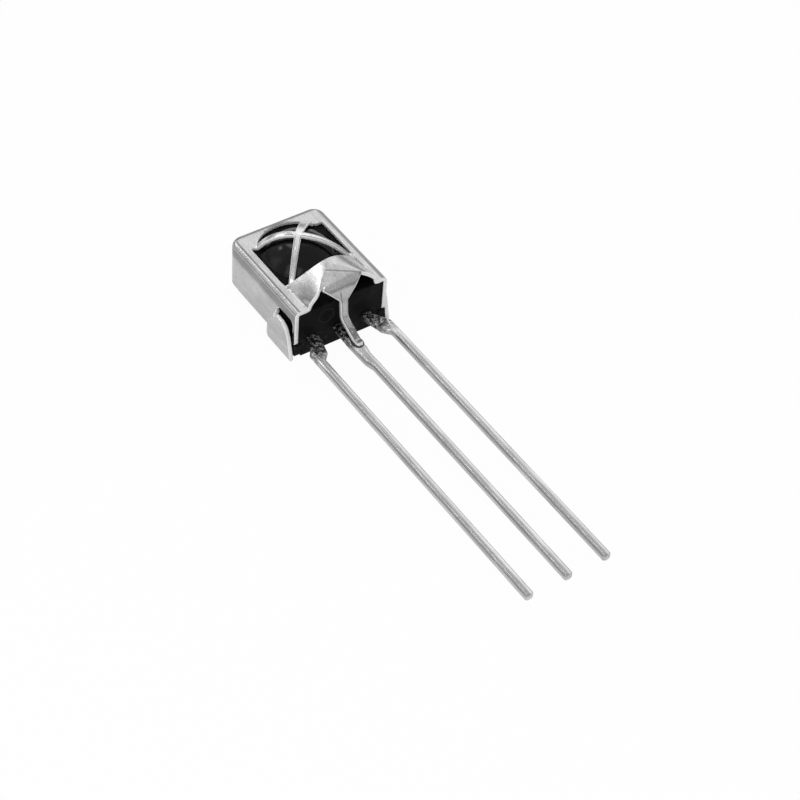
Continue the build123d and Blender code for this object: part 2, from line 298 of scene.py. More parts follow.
@dataclass(frozen=True)
class Tinplate:
    """Cold-rolled steel sheet with a bright tin coat, rolled along the leads."""

    name: str = "rolled_tinplate"
    bright: float = 0.72
    dull: float = 0.27
    roughness: float = 0.22
    plate: Pair = (3.55, 3.59)
    # Painted shade: where the dark lines at the plate's bends lie, and how they fade.
    bend_side: float = 2.85
    bend_back: float = 7.2
    bend_fade: Pair = (0.1, 0.05)
    # Painted shade: where the dark line across the hood's nose lies.
    nose_slant: float = 0.577
    nose_place: float = 1.064
    nose_fade: Pair = (0.09, 0.03)
    nose_height: Pair = (4.2, 4.4)
    nose_left: Pair = (-0.5, -0.3)
    nose_right: Pair = (1.9, 1.6)
    band_low: Pair = (2.55, 2.95)
    band_high: Pair = (3.42, 3.3)
    band_wall: Pair = (2.9, 3.1)
    # Painted shade: where the dark line beside the tongue's left edge lies.
    tongue_shade_side: float = -0.19
    tongue_shade_fade: Pair = (0.07, 0.025)
    tongue_shade_from: Pair = (-0.02, -0.2)
    wet_from: Pair = (-0.8, -1.5)

    def material(self) -> bpy.types.Material:
        """Rolling streaks along Y, handling marks, fine grain, and painted shade at the bends.

        The painted shade is the dark lines where the plate bends down, a dark line along the crease
        across the hood's nose and a dark line beside the tongue's left edge. A darker, rougher band
        runs below the side bends, and the tongue's end in the solder is darker.

        Returns:
            The material.
        """
        make = Shader(self.name)
        across, along, up = make.axes()
        aside = abs(across)
        streak = make.noise(7.0, 0.30, 7.0, 4.0, 0.6)
        fine = make.noise(26.0, 1.1, 26.0, 3.0, 0.6)
        grain = make.noise(16.0, 12.0, 16.0, 3.0, 0.6)
        cloud = make.noise(1.1, 0.8, 1.1, 3.0, 0.55)
        speck = make.even(9.0, 2.0, 0.5).step(0.66, 0.74)
        mottle = make.even(6.0, 3.0, 0.6)
        # Painted shade: a thin dark line beside the tongue's left cut edge, standing in for its
        # shadow.
        rolled = abs(across - self.tongue_shade_side).step(*self.tongue_shade_fade)
        rolled = rolled * along.step(*self.tongue_shade_from)
        wet = along.step(*self.wet_from) * (mottle.step(0.38, 0.54) * 1.6)
        # Painted shade: dark lines where the plate bends down at the sides and at the back.
        side_bend_shade = abs(aside - self.bend_side).step(*self.bend_fade)
        side_bend_shade = side_bend_shade * along.step(self.bend_back, self.bend_back - 0.1)
        back_bend_shade = abs(along - self.bend_back).step(*self.bend_fade)
        back_bend_shade = back_bend_shade * aside.step(self.bend_side + 0.05, self.bend_side - 0.05)
        bend = (side_bend_shade + back_bend_shade) * up.step(*self.plate)
        # Painted shade: a dark line along the crease across the hood's nose.
        nose = abs(along + across * self.nose_slant - self.nose_place).step(*self.nose_fade)
        nose = nose * across.step(*self.nose_left) * across.step(*self.nose_right)
        nose = nose * up.step(*self.nose_height)
        band = up.step(*self.band_low) * up.step(*self.band_high) * aside.step(*self.band_wall)
        tone = (
            0.60
            + (streak - 0.5) * 0.55
            + (fine - 0.5) * 0.6
            + (grain - 0.5) * 0.7
            + (cloud - 0.5) * 0.65
            - speck * 0.25
            - bend * 0.75
            - nose * 0.5
            - band * (0.58 + (fine - 0.5) * 0.9)
            - wet
            - rolled * 0.55
        )
        rough = self.roughness + (cloud - 0.5) * 0.16 + (grain - 0.5) * 0.14
        rough = rough + speck * 0.06 + band * 0.08
        height = streak * 0.25 + fine * 0.15 + cloud * 0.7 + grain * 0.35
        return make.surface(
            Base_Color=make.grey(tone, self.dull, self.bright),
            Metallic=0.92,
            Roughness=rough.most(0.12),
            Normal=make.bump(height, 0.016),
        )


@dataclass(frozen=True)
class ShearedEdge:
    """Cut face of the sheet, painted near white as a highlight where the sheet's edges catch the
    light.
    """

    name: str = "sheared_edge_painted_highlight"
    # Near-white tones: painted highlight on the sheet's cut edges.
    bright: float = 0.99
    dull: float = 0.82

    def material(self) -> bpy.types.Material:
        """Short shear lines through the thickness and a few duller breaks.

        Returns:
            The material.
        """
        make = Shader(self.name)
        line = make.even(9.0, 3.0, 0.6)
        tear = make.even(3.0, 2.0, 0.5)
        tone = 0.72 + (line - 0.5) + (tear - 0.5) * 0.8
        return make.surface(
            Base_Color=make.grey(tone, self.dull, self.bright),
            Metallic=0.25,
            Roughness=0.45 + (tear - 0.5) * 0.2,
            Normal=make.bump(line, 0.012),
        )


@dataclass(frozen=True)
class DarkEpoxy:
    """Near-black moulded epoxy that passes infrared, matt as it leaves the mould."""

    name: str = "moulded_epoxy"
    colour: Triple = (0.0045, 0.0045, 0.005)
    dusty: Triple = (0.05, 0.05, 0.051)
    low: Pair = (2.1, 0.9)
    mark_centre: Pair = (-0.95, 2.4)
    mark_inner: Pair = (0.4, 0.5)
    mark_outer: Pair = (0.6, 0.52)
    front: Pair = (0.5, 0.2)

    def material(self) -> bpy.types.Material:
        """Eroded-mould grain, dusty smudges low on the front and a round ejector mark.

        Returns:
            The material.
        """
        make = Shader(self.name)
        across, along, up = make.axes()
        grain = make.even(22.0, 3.0, 0.6)
        cloud = make.even(1.0, 3.0, 0.6)
        dust = make.even(4.0, 4.0, 0.7)
        low = up.step(*self.low) * 0.75 + 0.12
        smudge = dust.step(0.50, 0.72) * low + cloud.step(0.48, 0.7) * 0.14
        x_mark, z_mark = self.mark_centre
        from_mark = ((across - x_mark) ** 2.0 + (up - z_mark) ** 2.0).root()
        ring = from_mark.step(*self.mark_inner) * from_mark.step(*self.mark_outer)
        ring = ring * along.step(*self.front)
        return make.surface(
            Base_Color=make.blend(
                (smudge * 0.6 + ring * 0.22).least(1.0), self.colour, self.dusty
            ),
            Metallic=0.0,
            Roughness=0.5 + (grain - 0.5) * 0.14 + smudge * 0.1,
            IOR=1.5,
            Specular_IOR_Level=0.06,
            Normal=make.bump(grain * 0.7 + cloud * 0.5 - ring * 0.8, 0.02),
        )


@dataclass(frozen=True)
class PolishedLens:
    """The same epoxy from the polished lens cavity: deep black with clear reflections."""

    name: str = "lens_epoxy"
    colour: Triple = (0.003, 0.003, 0.0035)
    veil: Triple = (0.02, 0.02, 0.02)

    def material(self) -> bpy.types.Material:
        """Faint flow veils and fine dust over a polished dome.

        Returns:
            The material.
        """
        make = Shader(self.name)
        veil = make.noise(0.9, 0.7, 0.9, 3.0, 0.6)
        dust = make.even(15.0, 2.0, 0.5).step(0.66, 0.76)
        return make.surface(
            Base_Color=make.blend(
                veil.step(0.45, 0.75) * 0.35 + dust * 0.3, self.colour, self.veil
            ),
            Metallic=0.0,
            Roughness=0.10 + veil * 0.05 + dust * 0.25,
            IOR=1.5,
            Specular_IOR_Level=0.22,
            Normal=make.bump(veil + dust * 0.2, 0.02),
        )


@dataclass(frozen=True)
class TinnedLead:
    """Stamped lead frame, hot-dip tinned: bright, with long drawn streaks."""

    name: str = "dipped_lead"
    bright: float = 0.86
    dull: float = 0.36
    # Dark roots: painted shade and reflection of the body, mottled like moulding flash.
    root_shade_and_flash: Triple = (0.06, 0.058, 0.055)
    roughness: float = 0.24
    pitch: float = 2.54
    # Painted shade: heights between which the lead's side faces are painted darker.
    shaded_side_top: Pair = (1.29, 1.2)
    shaded_side_bottom: Pair = (0.9, 1.0)
    root_shade_from: Pair = (-2.3, -1.1)
    # Painted shade: where the darker left half of each lead's top face lies.
    shaded_half_from: Pair = (0.16, -0.08)
    shaded_half_height: Pair = (1.2, 1.25)
    shaded_half_along: Pair = (-1.6, -3.2)

    def material(self) -> bpy.types.Material:
        """Streaks along the lead, soft pools in the tin, a few dull specks, painted shade on the
        side faces, and dark roots: painted shade and reflection of the body, mottled like flash.

        The top face is painted darker on its left half, as shade, away from the body. The half is
        found
        from the middle of each lead: the place across less the pitch, on the lead's own side of
        half the pitch.

        Returns:
            The material.
        """
        make = Shader(self.name)
        across, along, up = make.axes()
        streak = make.noise(10.0, 0.22, 10.0, 4.0, 0.62)
        fine = make.noise(36.0, 0.9, 36.0, 2.0, 0.5)
        pool = make.noise(1.6, 0.5, 1.6, 3.0, 0.5)
        speck = make.even(11.0, 2.0, 0.5).step(0.64, 0.76)
        mottle = make.noise(4.5, 3.5, 4.5, 4.0, 0.65)
        # Painted shade: the side faces, below the top face, are darker.
        side = up.step(*self.shaded_side_top) * up.step(*self.shaded_side_bottom)
        # Painted shade and reflection of the dark body at the roots, in mottled patches like flash.
        root_shade_and_flash = along.step(*self.root_shade_from) * mottle.step(0.40, 0.56)
        # Painted shade: the left half of each lead's top face, away from the body, is darker.
        near, far = self.pitch / 2 - 0.01, self.pitch / 2 + 0.01
        own_side = across.step(near, far) - across.step(-near, -far)
        half = (across - self.pitch * own_side).step(*self.shaded_half_from)
        half = half * up.step(*self.shaded_half_height) * along.step(*self.shaded_half_along)
        tone = (
            0.74
            + (streak - 0.5) * 1.3
            + (fine - 0.5) * 0.7
            + (pool - 0.5) * 0.8
            - speck * 0.3
            - side * 0.35
            - half * 0.8
        )
        rough = self.roughness + (streak - 0.5) * 0.16 + (pool - 0.5) * 0.12 + speck * 0.08
        height = streak * 0.6 + fine * 0.2 + pool * 0.8 + root_shade_and_flash * 0.8
        return make.surface(
            Base_Color=make.blend(root_shade_and_flash, make.grey(tone, self.dull, self.bright), self.root_shade_and_flash),
            Metallic=0.9,
            Roughness=rough.most(0.1),
            Normal=make.bump(height, 0.02),
        )


@dataclass(frozen=True)
class Solder:
    """Reflowed solder: a grey, slightly pitted mound with brown-black flux at its rim."""

    name: str = "reflowed_solder"
    centre: float = -1.74
    half_width: float = 0.37
    half_length: float = 0.52
    dull: Triple = (0.20, 0.20, 0.20)
    bright: Triple = (0.52, 0.52, 0.52)
    flux: Triple = (0.03, 0.028, 0.026)

    def material(self) -> bpy.types.Material:
        """Mottled tin-lead grey that falls to dark flux towards the rim of the mound.

        The way out is the root of the sum of the squared shares of the half width and length.

        Returns:
            The material.
        """
        make = Shader(self.name)
        across, along, _ = make.axes()
        share = (across / self.half_width) ** 2.0
        share = (share + ((along - self.centre) / self.half_length) ** 2.0).root()
        mottle = make.even(7.0, 4.0, 0.6)
        rim = (share + (mottle - 0.5) * 0.5).step(0.55, 0.85)
        metal = make.blend(mottle.step(0.3, 0.75), self.dull, self.bright)
        return make.surface(
            Base_Color=make.blend(rim, metal, self.flux),
            Metallic=0.75 * (1.0 - rim * 0.9),
            Roughness=0.34 + (mottle - 0.5) * 0.25 - rim * 0.08,
            Normal=make.bump(mottle, 0.05),
        )


@dataclass(frozen=True)
class DieAttach:
    """Silver-filled glue under a chip."""

    name: str = "silver_glue"
    paste: Triple = (0.32, 0.31, 0.3)
    silver: Triple = (0.6, 0.6, 0.58)

    def material(self) -> bpy.types.Material:
        """Grey paste with bright flakes.

        Returns:
            The material.
        """
        make = Shader(self.name)
        flake = make.even(30.0, 3.0, 0.6)
        return make.surface(
            Base_Color=make.blend(flake.step(0.35, 0.7), self.paste, self.silver),
            Metallic=flake * 0.7,
            Roughness=0.62 - flake * 0.2,
        )


@dataclass(frozen=True)
class Silicon:
    """Diced silicon: blue-grey face with sawn sides."""

    name: str = "diced_silicon"
    sawn: Triple = (0.10, 0.10, 0.11)
    face: Triple = (0.07, 0.085, 0.13)
    face_height: Pair = (1.6, 1.64)

    def material(self) -> bpy.types.Material:
        """Polished top that turns duller and streaked down the sawn sides.

        Returns:
            The material.
        """
        make = Shader(self.name)
        top = make.axes()[2].step(*self.face_height)
        saw = make.noise(2.0, 2.0, 60.0, 2.0, 0.5)
        return make.surface(
            Base_Color=make.blend(top, self.sawn, self.face),
            Metallic=0.35,
            Roughness=0.42 - top * 0.3 + (saw - 0.5) * 0.1,
        )


@dataclass(frozen=True)
class GoldWire:
    """Drawn gold bond wire."""

    name: str = "drawn_gold"
    deep: Triple = (0.83, 0.60, 0.22)
    pale: Triple = (0.95, 0.72, 0.33)

    def material(self) -> bpy.types.Material:
        """Warm gold with faint drawing lines.

        Returns:
            The material.
        """
        make = Shader(self.name)
        line = make.noise(80.0, 6.0, 80.0, 2.0, 0.5)
        return make.surface(
            Base_Color=make.blend(line, self.deep, self.pale),
            Metallic=1.0,
            Roughness=0.22 + (line - 0.5) * 0.1,
        )


class Finish(Enum):
    """Every finish on the part. Its material is made the first time that it is used."""

    TINPLATE = Tinplate()
    # Painted highlight: the ribs take a brighter copy of the tinplate's colours, with a lower
    # roughness.
    RIB = Tinplate("tinplate_painted_brighter", bright=0.92, dull=0.36, roughness=0.18)
    SHEARED = ShearedEdge()
    EPOXY = DarkEpoxy()
    LENS = PolishedLens()
    LEAD = TinnedLead()
    SOLDER = Solder()
    ATTACH = DieAttach()
    SILICON = Silicon()
    GOLD = GoldWire()

    def on(self, piece: bpy.types.Object) -> None:
        """Make this the piece's only finish."""
        piece.data.materials.clear()
        self.also_on(piece)

    def also_on(self, piece: bpy.types.Object) -> None:
        """Add this finish in the piece's next material slot."""
        material = bpy.data.materials.get(self.value.name) or self.value.material()
        piece.data.materials.append(material)


# Surfaces


def smooth(ratio: Numbers) -> Numbers:
    """Ease from 0 to 1: three times the square less twice the cube, held at the ends."""
    held = np.clip(ratio, 0.0, 1.0)
    return held * held * (3.0 - 2.0 * held)


def between(low: Numbers, high: Numbers, ratio: Numbers) -> Numbers:
    """Straight mix of two numbers or arrays by a ratio that broadcasts with them."""
    return low * (1.0 - ratio) + high * ratio


def points(across: Numbers, along: Numbers, up: Numbers) -> Grid:
    """Points from three coordinates that broadcast with each other."""
    return np.stack(np.broadcast_arrays(across, along, up), -1)


def raised(plan: np.ndarray, up: Numbers) -> Grid:
    """Points from plan points and their heights."""
    return points(plan[..., 0], plan[..., 1], up)


def quarter(steps: int) -> np.ndarray:
    """Angles from 0 to a quarter turn, in even steps."""
    return np.linspace(0.0, math.pi / 2, steps + 1)


def around(count: int) -> np.ndarray:
    """Angles evenly round a full turn, without the last, which is the first again."""
    return np.linspace(0.0, 2 * math.pi, count + 1)[:-1]


def stations(*marks: tuple[float, int]) -> np.ndarray:
    """Places along a line, evenly spaced between marks.

    Args:
        marks: Pairs of a place and the number of steps up to it; the first count is unused.

    Returns:
        The places, each mark among them.
    """
    runs = [np.array([marks[0][0]])]
    for (start, _), (end, steps) in zip(marks[:-1], marks[1:]):
        runs.append(np.linspace(start, end, steps + 1)[1:])
    return np.concatenate(runs)


@contextmanager
def opened(mesh: bpy.types.Mesh) -> Iterator[bmesh.types.BMesh]:
    """Open a mesh for editing, and write it back at the end.

    Args:
        mesh: The mesh.

    Returns:
        Its editable shape.
    """
    shape = bmesh.new()
    shape.from_mesh(mesh)
    yield shape
    shape.to_mesh(mesh)
    shape.free()


class Surface:
    """A mesh put together from grids of points, in millimetres."""

    def __init__(self, name: str) -> None:
        """Start an empty surface.

        Args:
            name: Name of the object that it becomes.
        """
        self.name = name
        self.points: list[np.ndarray] = []
        self.faces: list[np.ndarray] = []
        self.count = 0

    def add(self, grid: Grid, closed: bool = False) -> "Surface":
        """Add one grid, as quads between neighbours of neighbouring rows.

        Args:
            grid: Points, shaped rows by columns by 3.
            closed: Whether each row is a ring.

        Returns:
            The surface itself.
        """
        rows, columns = grid.shape[:2]
        start = np.arange(rows - 1)[:, None] * columns
        column = np.arange(columns if closed else columns - 1)[None]
        after = (column + 1) % columns
        over = start + columns
        quads = np.stack([start + column, start + after, over + after, over + column], -1)
        self.faces.append(self.count + quads.reshape(-1, 4))
        self.points.append(grid.reshape(-1, 3))
        self.count += rows * columns
        return self

    def mirrored(self) -> "Surface":
        """Add a copy of all that is there, mirrored across X and turned the right way.

        Returns:
            The surface itself.
        """
        self.faces.append(np.concatenate(self.faces)[:, ::-1] + self.count)
        self.points.append(np.concatenate(self.points) * np.array([-1.0, 1.0, 1.0]))
        self.count *= 2
        return self

    def build(self, merge: float = 0.0004, solid: bool = False) -> bpy.types.Object:
        """Make the object.

        Args:
            merge: Points nearer than this become one, in millimetres.
            solid: Whether to close the small rings at the poles and turn the faces outward.

        Returns:
            The object, at the origin, smooth-shaded.
        """
        mesh = bpy.data.meshes.new(self.name)
        corners = np.concatenate(self.points) * MM
        mesh.from_pydata(corners, [], np.concatenate(self.faces).tolist())
        with opened(mesh) as shape:
            bmesh.ops.remove_doubles(shape, verts=shape.verts, dist=merge * MM)
            bmesh.ops.dissolve_degenerate(shape, edges=shape.edges, dist=merge * MM)
            if solid:
                rims = [edge for edge in shape.edges if edge.is_boundary]
                bmesh.ops.holes_fill(shape, edges=rims, sides=0)
                bmesh.ops.recalc_face_normals(shape, faces=shape.faces)
        mesh.polygons.foreach_set("use_smooth", np.ones(len(mesh.polygons), dtype=bool))
        piece = bpy.data.objects.new(self.name, mesh)
        bpy.context.scene.collection.objects.link(piece)
        return piece


def consistent(piece: bpy.types.Object) -> None:
    """Turn the faces of an open sheet one way, with its highest face looking up.

    Args:
        piece: The object.
    """
    with opened(piece.data) as shape:
        bmesh.ops.recalc_face_normals(shape, faces=shape.faces)
        highest = max(shape.faces, key=lambda face: face.calc_center_median().z)
        if highest.normal.z < 0:
            bmesh.ops.reverse_faces(shape, faces=shape.faces)


def rounded(piece: bpy.types.Object, width: float, angle: float) -> None:
    """Round the edges of a piece.

    Args:
        piece: The object.
        width: Width of the rounding, in millimetres.
        angle: Edges sharper than this, in degrees, are rounded.
    """
    bevel = piece.modifiers.new("edge", "BEVEL")
    bevel.width = width * MM
    bevel.segments = 2
    bevel.limit_method = "ANGLE"
    bevel.angle_limit = math.radians(angle)
    bevel.use_clamp_overlap = False


def bevel_highlit_edges(
    piece: bpy.types.Object, width: float, angle: float, spare: Sequence[Sequence[float]] = ()
) -> None:
    """Round a sheet's sharp edges in the second material, a painted edge highlight, but not where
    they meet at a kink.

    Args:
        piece: The object; its modifiers are worked into its mesh first.
        width: Width of the rounding, in millimetres.
        angle: Edges sharper than this, in degrees, are rounded.
        spare: Points in millimetres, each with a radius, round which the edges stay sharp.
    """
    graph = bpy.context.evaluated_depsgraph_get()
    worked = bpy.data.meshes.new_from_object(piece.evaluated_get(graph))
    piece.modifiers.clear()
    piece.data = worked
    kinks = np.array(spare).reshape(-1, 4)
    with opened(worked) as shape:
        sharp = [edge for edge in shape.edges if edge.calc_face_angle(0.0) > math.radians(angle)]
        middles = np.array([(edge.verts[0].co + edge.verts[1].co) / 2 for edge in sharp]) / MM
        away = np.linalg.norm(middles[:, None] - kinks[None, :, :3], axis=-1) >= kinks[None, :, 3]
        chosen = [sharp[k] for k in np.flatnonzero(away.all(axis=1))]
        bmesh.ops.bevel(
            shape, geom=chosen, offset=width * MM, offset_type="OFFSET", segments=2, profile=0.5,
            affect="EDGES", clamp_overlap=False, material=1,
        )


def thick(piece: bpy.types.Object, thickness: float) -> None:
    """Give a sheet its wall, behind the face that is drawn.

    Args:
        piece: The object.
        thickness: The wall, in millimetres.
    """
    wall = piece.modifiers.new("sheet", "SOLIDIFY")
    wall.thickness = thickness * MM
    wall.offset = -1.0
    wall.use_even_offset = False
    wall.use_quality_normals = True
    # The rim, the sheet's cut face, takes the second material: the painted edge highlight.
    wall.material_offset_rim = 1


def level(piece: bpy.types.Object) -> None:
    """Let the large faces set the shading, so that flats look flat beside rounded edges.

    Args:
        piece: The object.
    """
    flats = piece.modifiers.new("flats", "WEIGHTED_NORMAL")
    flats.mode = "FACE_AREA"
    flats.weight = 60
    flats.keep_sharp = True


def settle(piece: bpy.types.Object, finish: Finish, slot: str, *nodes: str) -> None:
    """Dress a piece and tie it to the frame.

    Args:
        piece: The object.
        finish: Its finish.
        slot: The record's slot that it stands for.
        nodes: CAD nodes that it replaces.
    """
    finish.on(piece)
    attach(piece, "root")
    if nodes:
        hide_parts(*nodes)
    log.info("%s: %d points, slot %s", piece.name, len(piece.data.vertices), slot)


# Sub-assemblies


@dataclass(frozen=True)
class RibArm:
    """One arm of the crossed ribs: where it lands, how high over the plate, and its half widths."""

    across: float
    along: float
    lift: float
    half_near: float
    half_far: float


@dataclass
class Shield:
    """Pressed tinplate shield: walls, top plate, hood with its tongue, ribs and ears.

    A pair for the two sides gives the left one first, as the photograph shows it, and a pair along
    the hood gives the window's side first and the front second. A cut gives the width of the
    rounded edge that carries the painted edge highlight, and the least angle, in degrees, of an
    edge that is rounded so. A kink, where edges stay sharp, gives how far in from the ear's face,
    along and up it is, and its reach.
    """

    half: float = 3.15
    length: float = 7.5
    top: float = 3.6
    sheet: float = 0.25
    sheet_cut: Pair = (0.045, 60.0)
    bend: float = 0.32
    corner: float = 0.75
    skirt: float = 0.5
    window_halves: Pair = (2.41, 2.52)
    window_corner: Pair = (2.25, 5.9)
    window_front: float = 2.75
    wall_mark: float = 3.943
    window_turn: float = 5.117
    window_back: float = 6.05
    window_radius: float = 2.57
    centre: float = 4.53
    tabs: Pair = (0.0, 0.24)
    feet_window: Pair = (-2.36, 2.42)
    feet_front: Pair = (-2.3, 2.45)
    hood_back: Pair = (2.05, 2.35)
    rise: Pair = (1.185, 1.22)
    lean_left: Pair = (2.37, 0.0)
    lean_right: Pair = (1.5, 0.0)
    peak_share: float = 0.12
    flap_share: Pair = (0.3, 0.7)
    facet_point: Triple = (-0.34, 1.26, 4.741)
    facet_slope: Pair = (0.03, 0.19)
    facet_soft: float = 0.012
    nose_corners: tuple[Pair, ...] = (
        (2.05, 4.82), (0.08, 4.82), (-0.28, 3.4), (-0.42, 2.2), (-1.72, 1.575), (-2.15, 1.575),
    )
    nose_radii: tuple[float, ...] = (1.2, 0.4, 0.4, 0.4)
    arch_rows: int = 27
    flap_heights: Pair = (3.4, 4.57)
    flap_halves: Pair = (0.24, 1.38)
    flap_ease: Pair = (0.35, 0.12)
    flap_spread: float = 1.15
    tongue_tip: float = 0.24
    tip_draw: float = 0.85
    crest_rows: float = 6.0
    crest_sides: float = 0.3
    crest_rounds: int = 40
    crest_kink: float = 0.3
    leg: float = 0.3
    leg_bottom: float = 1.12
    leg_round: float = 0.1
    notch_top: float = 2.78
    notch_radius: float = 0.35
    hinge: tuple[Pair, Pair] = ((2.1, 2.3), (3.05, 0.5))
    joggle: float = 0.4
    ear_faces: Pair = (3.53, 3.42)
    ear_front: tuple[Pair, ...] = (
        (0.19, -0.15), (0.6, -0.04), (0.96, 0.05), (1.65, 0.22), (2.2, 0.47), (2.42, 0.78),
        (2.48, 0.98),
    )
    ear_back: tuple[Pair, ...] = (
        (0.1, 2.28), (0.6, 2.38), (1.2, 2.36), (1.7, 2.16), (2.17, 1.84), (2.4, 1.62), (2.48, 1.52),
    )
    ear_crown: tuple[float, ...] = (2.48, 2.45, 2.4, 2.33, 2.25)
    ear_hinge: float = 2.17
    ear_radius: float = 0.3
    ear_fold: float = 0.85
    ear_kinks: tuple[tuple[float, ...], ...] = ((0.0, 1.86, 2.17, 0.16), (0.25, 2.27, 0.15, 0.28))
    fold_share: float = 0.6
    fold_ends: Pair = (0.55, 2.342)
    rib_sheet: float = 0.23
    rib_cut: Pair = (0.055, 50.0)
    rib_rise: float = 1.33
    rib_curve: float = 0.27
    crossing: Pair = (-0.12, 4.58)
    arms: tuple[RibArm, ...] = (
        RibArm(1.78, 6.33, 0.0, 0.23, 0.27),
        RibArm(-1.93, 6.15, 0.0, 0.21, 0.25),
        RibArm(-1.95, 2.33, 0.28, 0.21, 0.16),
        RibArm(2.29, 2.77, 0.0, 0.2, 0.13),
    )
    arm_over: float = 0.2
    landing_soft: float = 0.06
    landing_flat: float = 0.004
    landing_dip: Pair = (0.16, 0.04)

    def wall_places(self) -> np.ndarray:
        """Places along a side wall at which the wall, the plate and the hood share points.

        Returns:
            The places, from the front to where the back corner starts.
        """
        (y_top, _), (y_low, _) = self.hinge
        places = [
            np.linspace(0.0, self.hood_back[1], self.arch_rows),
            stations(
                (self.hood_back[1], 0), (self.window_front, 8), (y_low, 4), (self.wall_mark, 7),
                (self.window_turn, 10), (self.window_back, 7), (self.length - self.corner, 5),
            )[1:],
            np.array([y_top - self.joggle, y_top, self.leg, self.leg + self.notch_radius]),
        ]
        return np.unique(np.round(np.concatenate(places), 6))

    def lower_edge(self, along: np.ndarray) -> np.ndarray:
        """Lowest height of the left wall at each place.

        Under the rail it is the notch's top with a quarter-circle at the leg; then it follows the
        joggle's free edge and the hinge line down to the skirt.

        Args:
            along: The places.

        Returns:
            The heights.
        """
        (y_top, z_top), (y_low, z_low) = self.hinge
        inside = np.clip(along - self.leg - self.notch_radius, -self.notch_radius, 0.0)
        rail = self.notch_top - self.notch_radius
        curve = rail + np.sqrt(self.notch_radius**2 - inside**2)
        edge = np.where(along < self.leg, rail, curve)
        free = np.interp(along, [y_top - self.joggle, y_top], [self.notch_top, z_top])
        edge = np.where(along > y_top - self.joggle, np.minimum(edge, free), edge)
        return np.where(along > y_top, np.interp(along, [y_top, y_low], [z_top, z_low]), edge)

    def plate_edge(self, along: np.ndarray, side: int) -> np.ndarray:
        """Inner end of the plate's columns on one side.

        Beside the hood it is the hood's foot line; then the window's front corner, where half a
        sine wave draws out a small tab under the rib's foot, and the window's straight side.

        Args:
            along: Places along the side wall.
            side: 0 for the left and 1 for the right.

        Returns:
            Plan points with the left side's signs.
        """
        foot_window, foot_front = abs(self.feet_window[side]), abs(self.feet_front[side])
        back, front = self.hood_back[1], self.window_front
        foot = between(foot_front, foot_window, np.clip(along / back, 0.0, 1.0))
        half = self.window_halves[side]
        turn = np.clip((along - back) / (front - back), 0.0, 1.0)
        corner = between(foot_window, half, turn) - self.tabs[side] * np.sin(math.pi * turn)
        across = np.select([along <= back + 1e-6, along <= front], [foot, corner], half)
        from_wall = [front, self.window_turn, self.length - self.corner]
        on_edge = [front, self.window_turn, self.window_corner[1]]
        place = np.where(along <= front, along, np.interp(along, from_wall, on_edge))
        return np.stack([-across, place], -1)

    def perimeter(self) -> tuple[np.ndarray, np.ndarray, np.ndarray, np.ndarray]:
        """Stations round the shield's plan from the left wall's front to the right wall's front.

        Returns:
            Points on the outer plan, their outward normals, the matching points on the window's
            edge, and the lowest height of the wall at each.
        """
        along = self.wall_places()
        left = np.stack([np.full(len(along), -self.half), along], -1)
        turn = quarter(8)[1:]
        middle = np.array([self.corner - self.half, self.length - self.corner])
        arc_normal = np.stack([-np.cos(turn), np.sin(turn)], -1)
        x_corner, y_corner = self.window_corner
        arc_inner_y = np.interp(turn, [0.0, 0.79], [y_corner, self.window_back])
        arc_inner_x = [
            np.interp(turn, [0.8, math.pi / 2], [-half, -x_corner]) for half in self.window_halves
        ]
        meet = math.sqrt(self.window_radius**2 - (self.window_back - self.centre) ** 2)
        back_x = stations((middle[0], 0), (-meet, 3), (0.0, 14))[1:]
        back = np.stack([back_x, np.full(len(back_x), self.length)], -1)
        round_y = self.centre + np.sqrt(np.maximum(self.window_radius**2 - back_x**2, 0.0))
        corner_x = np.interp(back_x, [middle[0], -meet], [-x_corner, -meet])
        back_inner = np.stack(
            [
                np.where(back_x < -meet, corner_x, back_x),
                np.where(back_x < -meet - 1e-6, self.window_back, round_y),
            ],
            -1,
        )
        outer = np.concatenate([left, middle + self.corner * arc_normal, back])
        normal = np.concatenate(
            [
                np.tile([-1.0, 0.0], (len(along), 1)),
                arc_normal,
                np.tile([0.0, 1.0], (len(back), 1)),
            ]
        )
        inner = [
            np.concatenate(
                [
                    self.plate_edge(along, side),
                    np.stack([arc_inner_x[side], arc_inner_y], -1),
                    back_inner,
                ]
            )
            for side in (0, 1)
        ]
        low = np.append(self.lower_edge(along), np.full(len(turn) + len(back), self.skirt))
        flip = np.array([-1.0, 1.0])
        return (
            np.concatenate([outer, outer[-2::-1] * flip]),
            np.concatenate([normal, normal[-2::-1] * flip]),
            np.concatenate([inner[0], inner[1][-2::-1] * flip]),
            np.concatenate([low, low[-2::-1]]),
        )

    def shell(self) -> Grid:
        """Walls and top plate as one grid.

        Each column climbs the wall from its lowest height to the bend, turns through a quarter
        circle of the bend's radius, and runs straight over the plate to the window's edge.

        Returns:
            Points; each column runs from the wall's lower edge to the window.
        """
        outer, normal, inner, low = self.perimeter()
        shoulder = self.top - self.bend
        climb = np.linspace(0.0, 1.0, 9)[:, None]
        turn = quarter(6)[1:, None]
        over = outer + self.bend * (np.cos(turn)[..., None] - 1.0) * normal
        run = np.linspace(0.0, 1.0, 7)[1:, None, None]
        return np.concatenate(
            [
                raised(outer, between(low, shoulder, climb)),
                raised(over, shoulder + self.bend * np.sin(turn)),
                raised(between(outer - self.bend * normal, inner, run), self.top),
            ]
        )

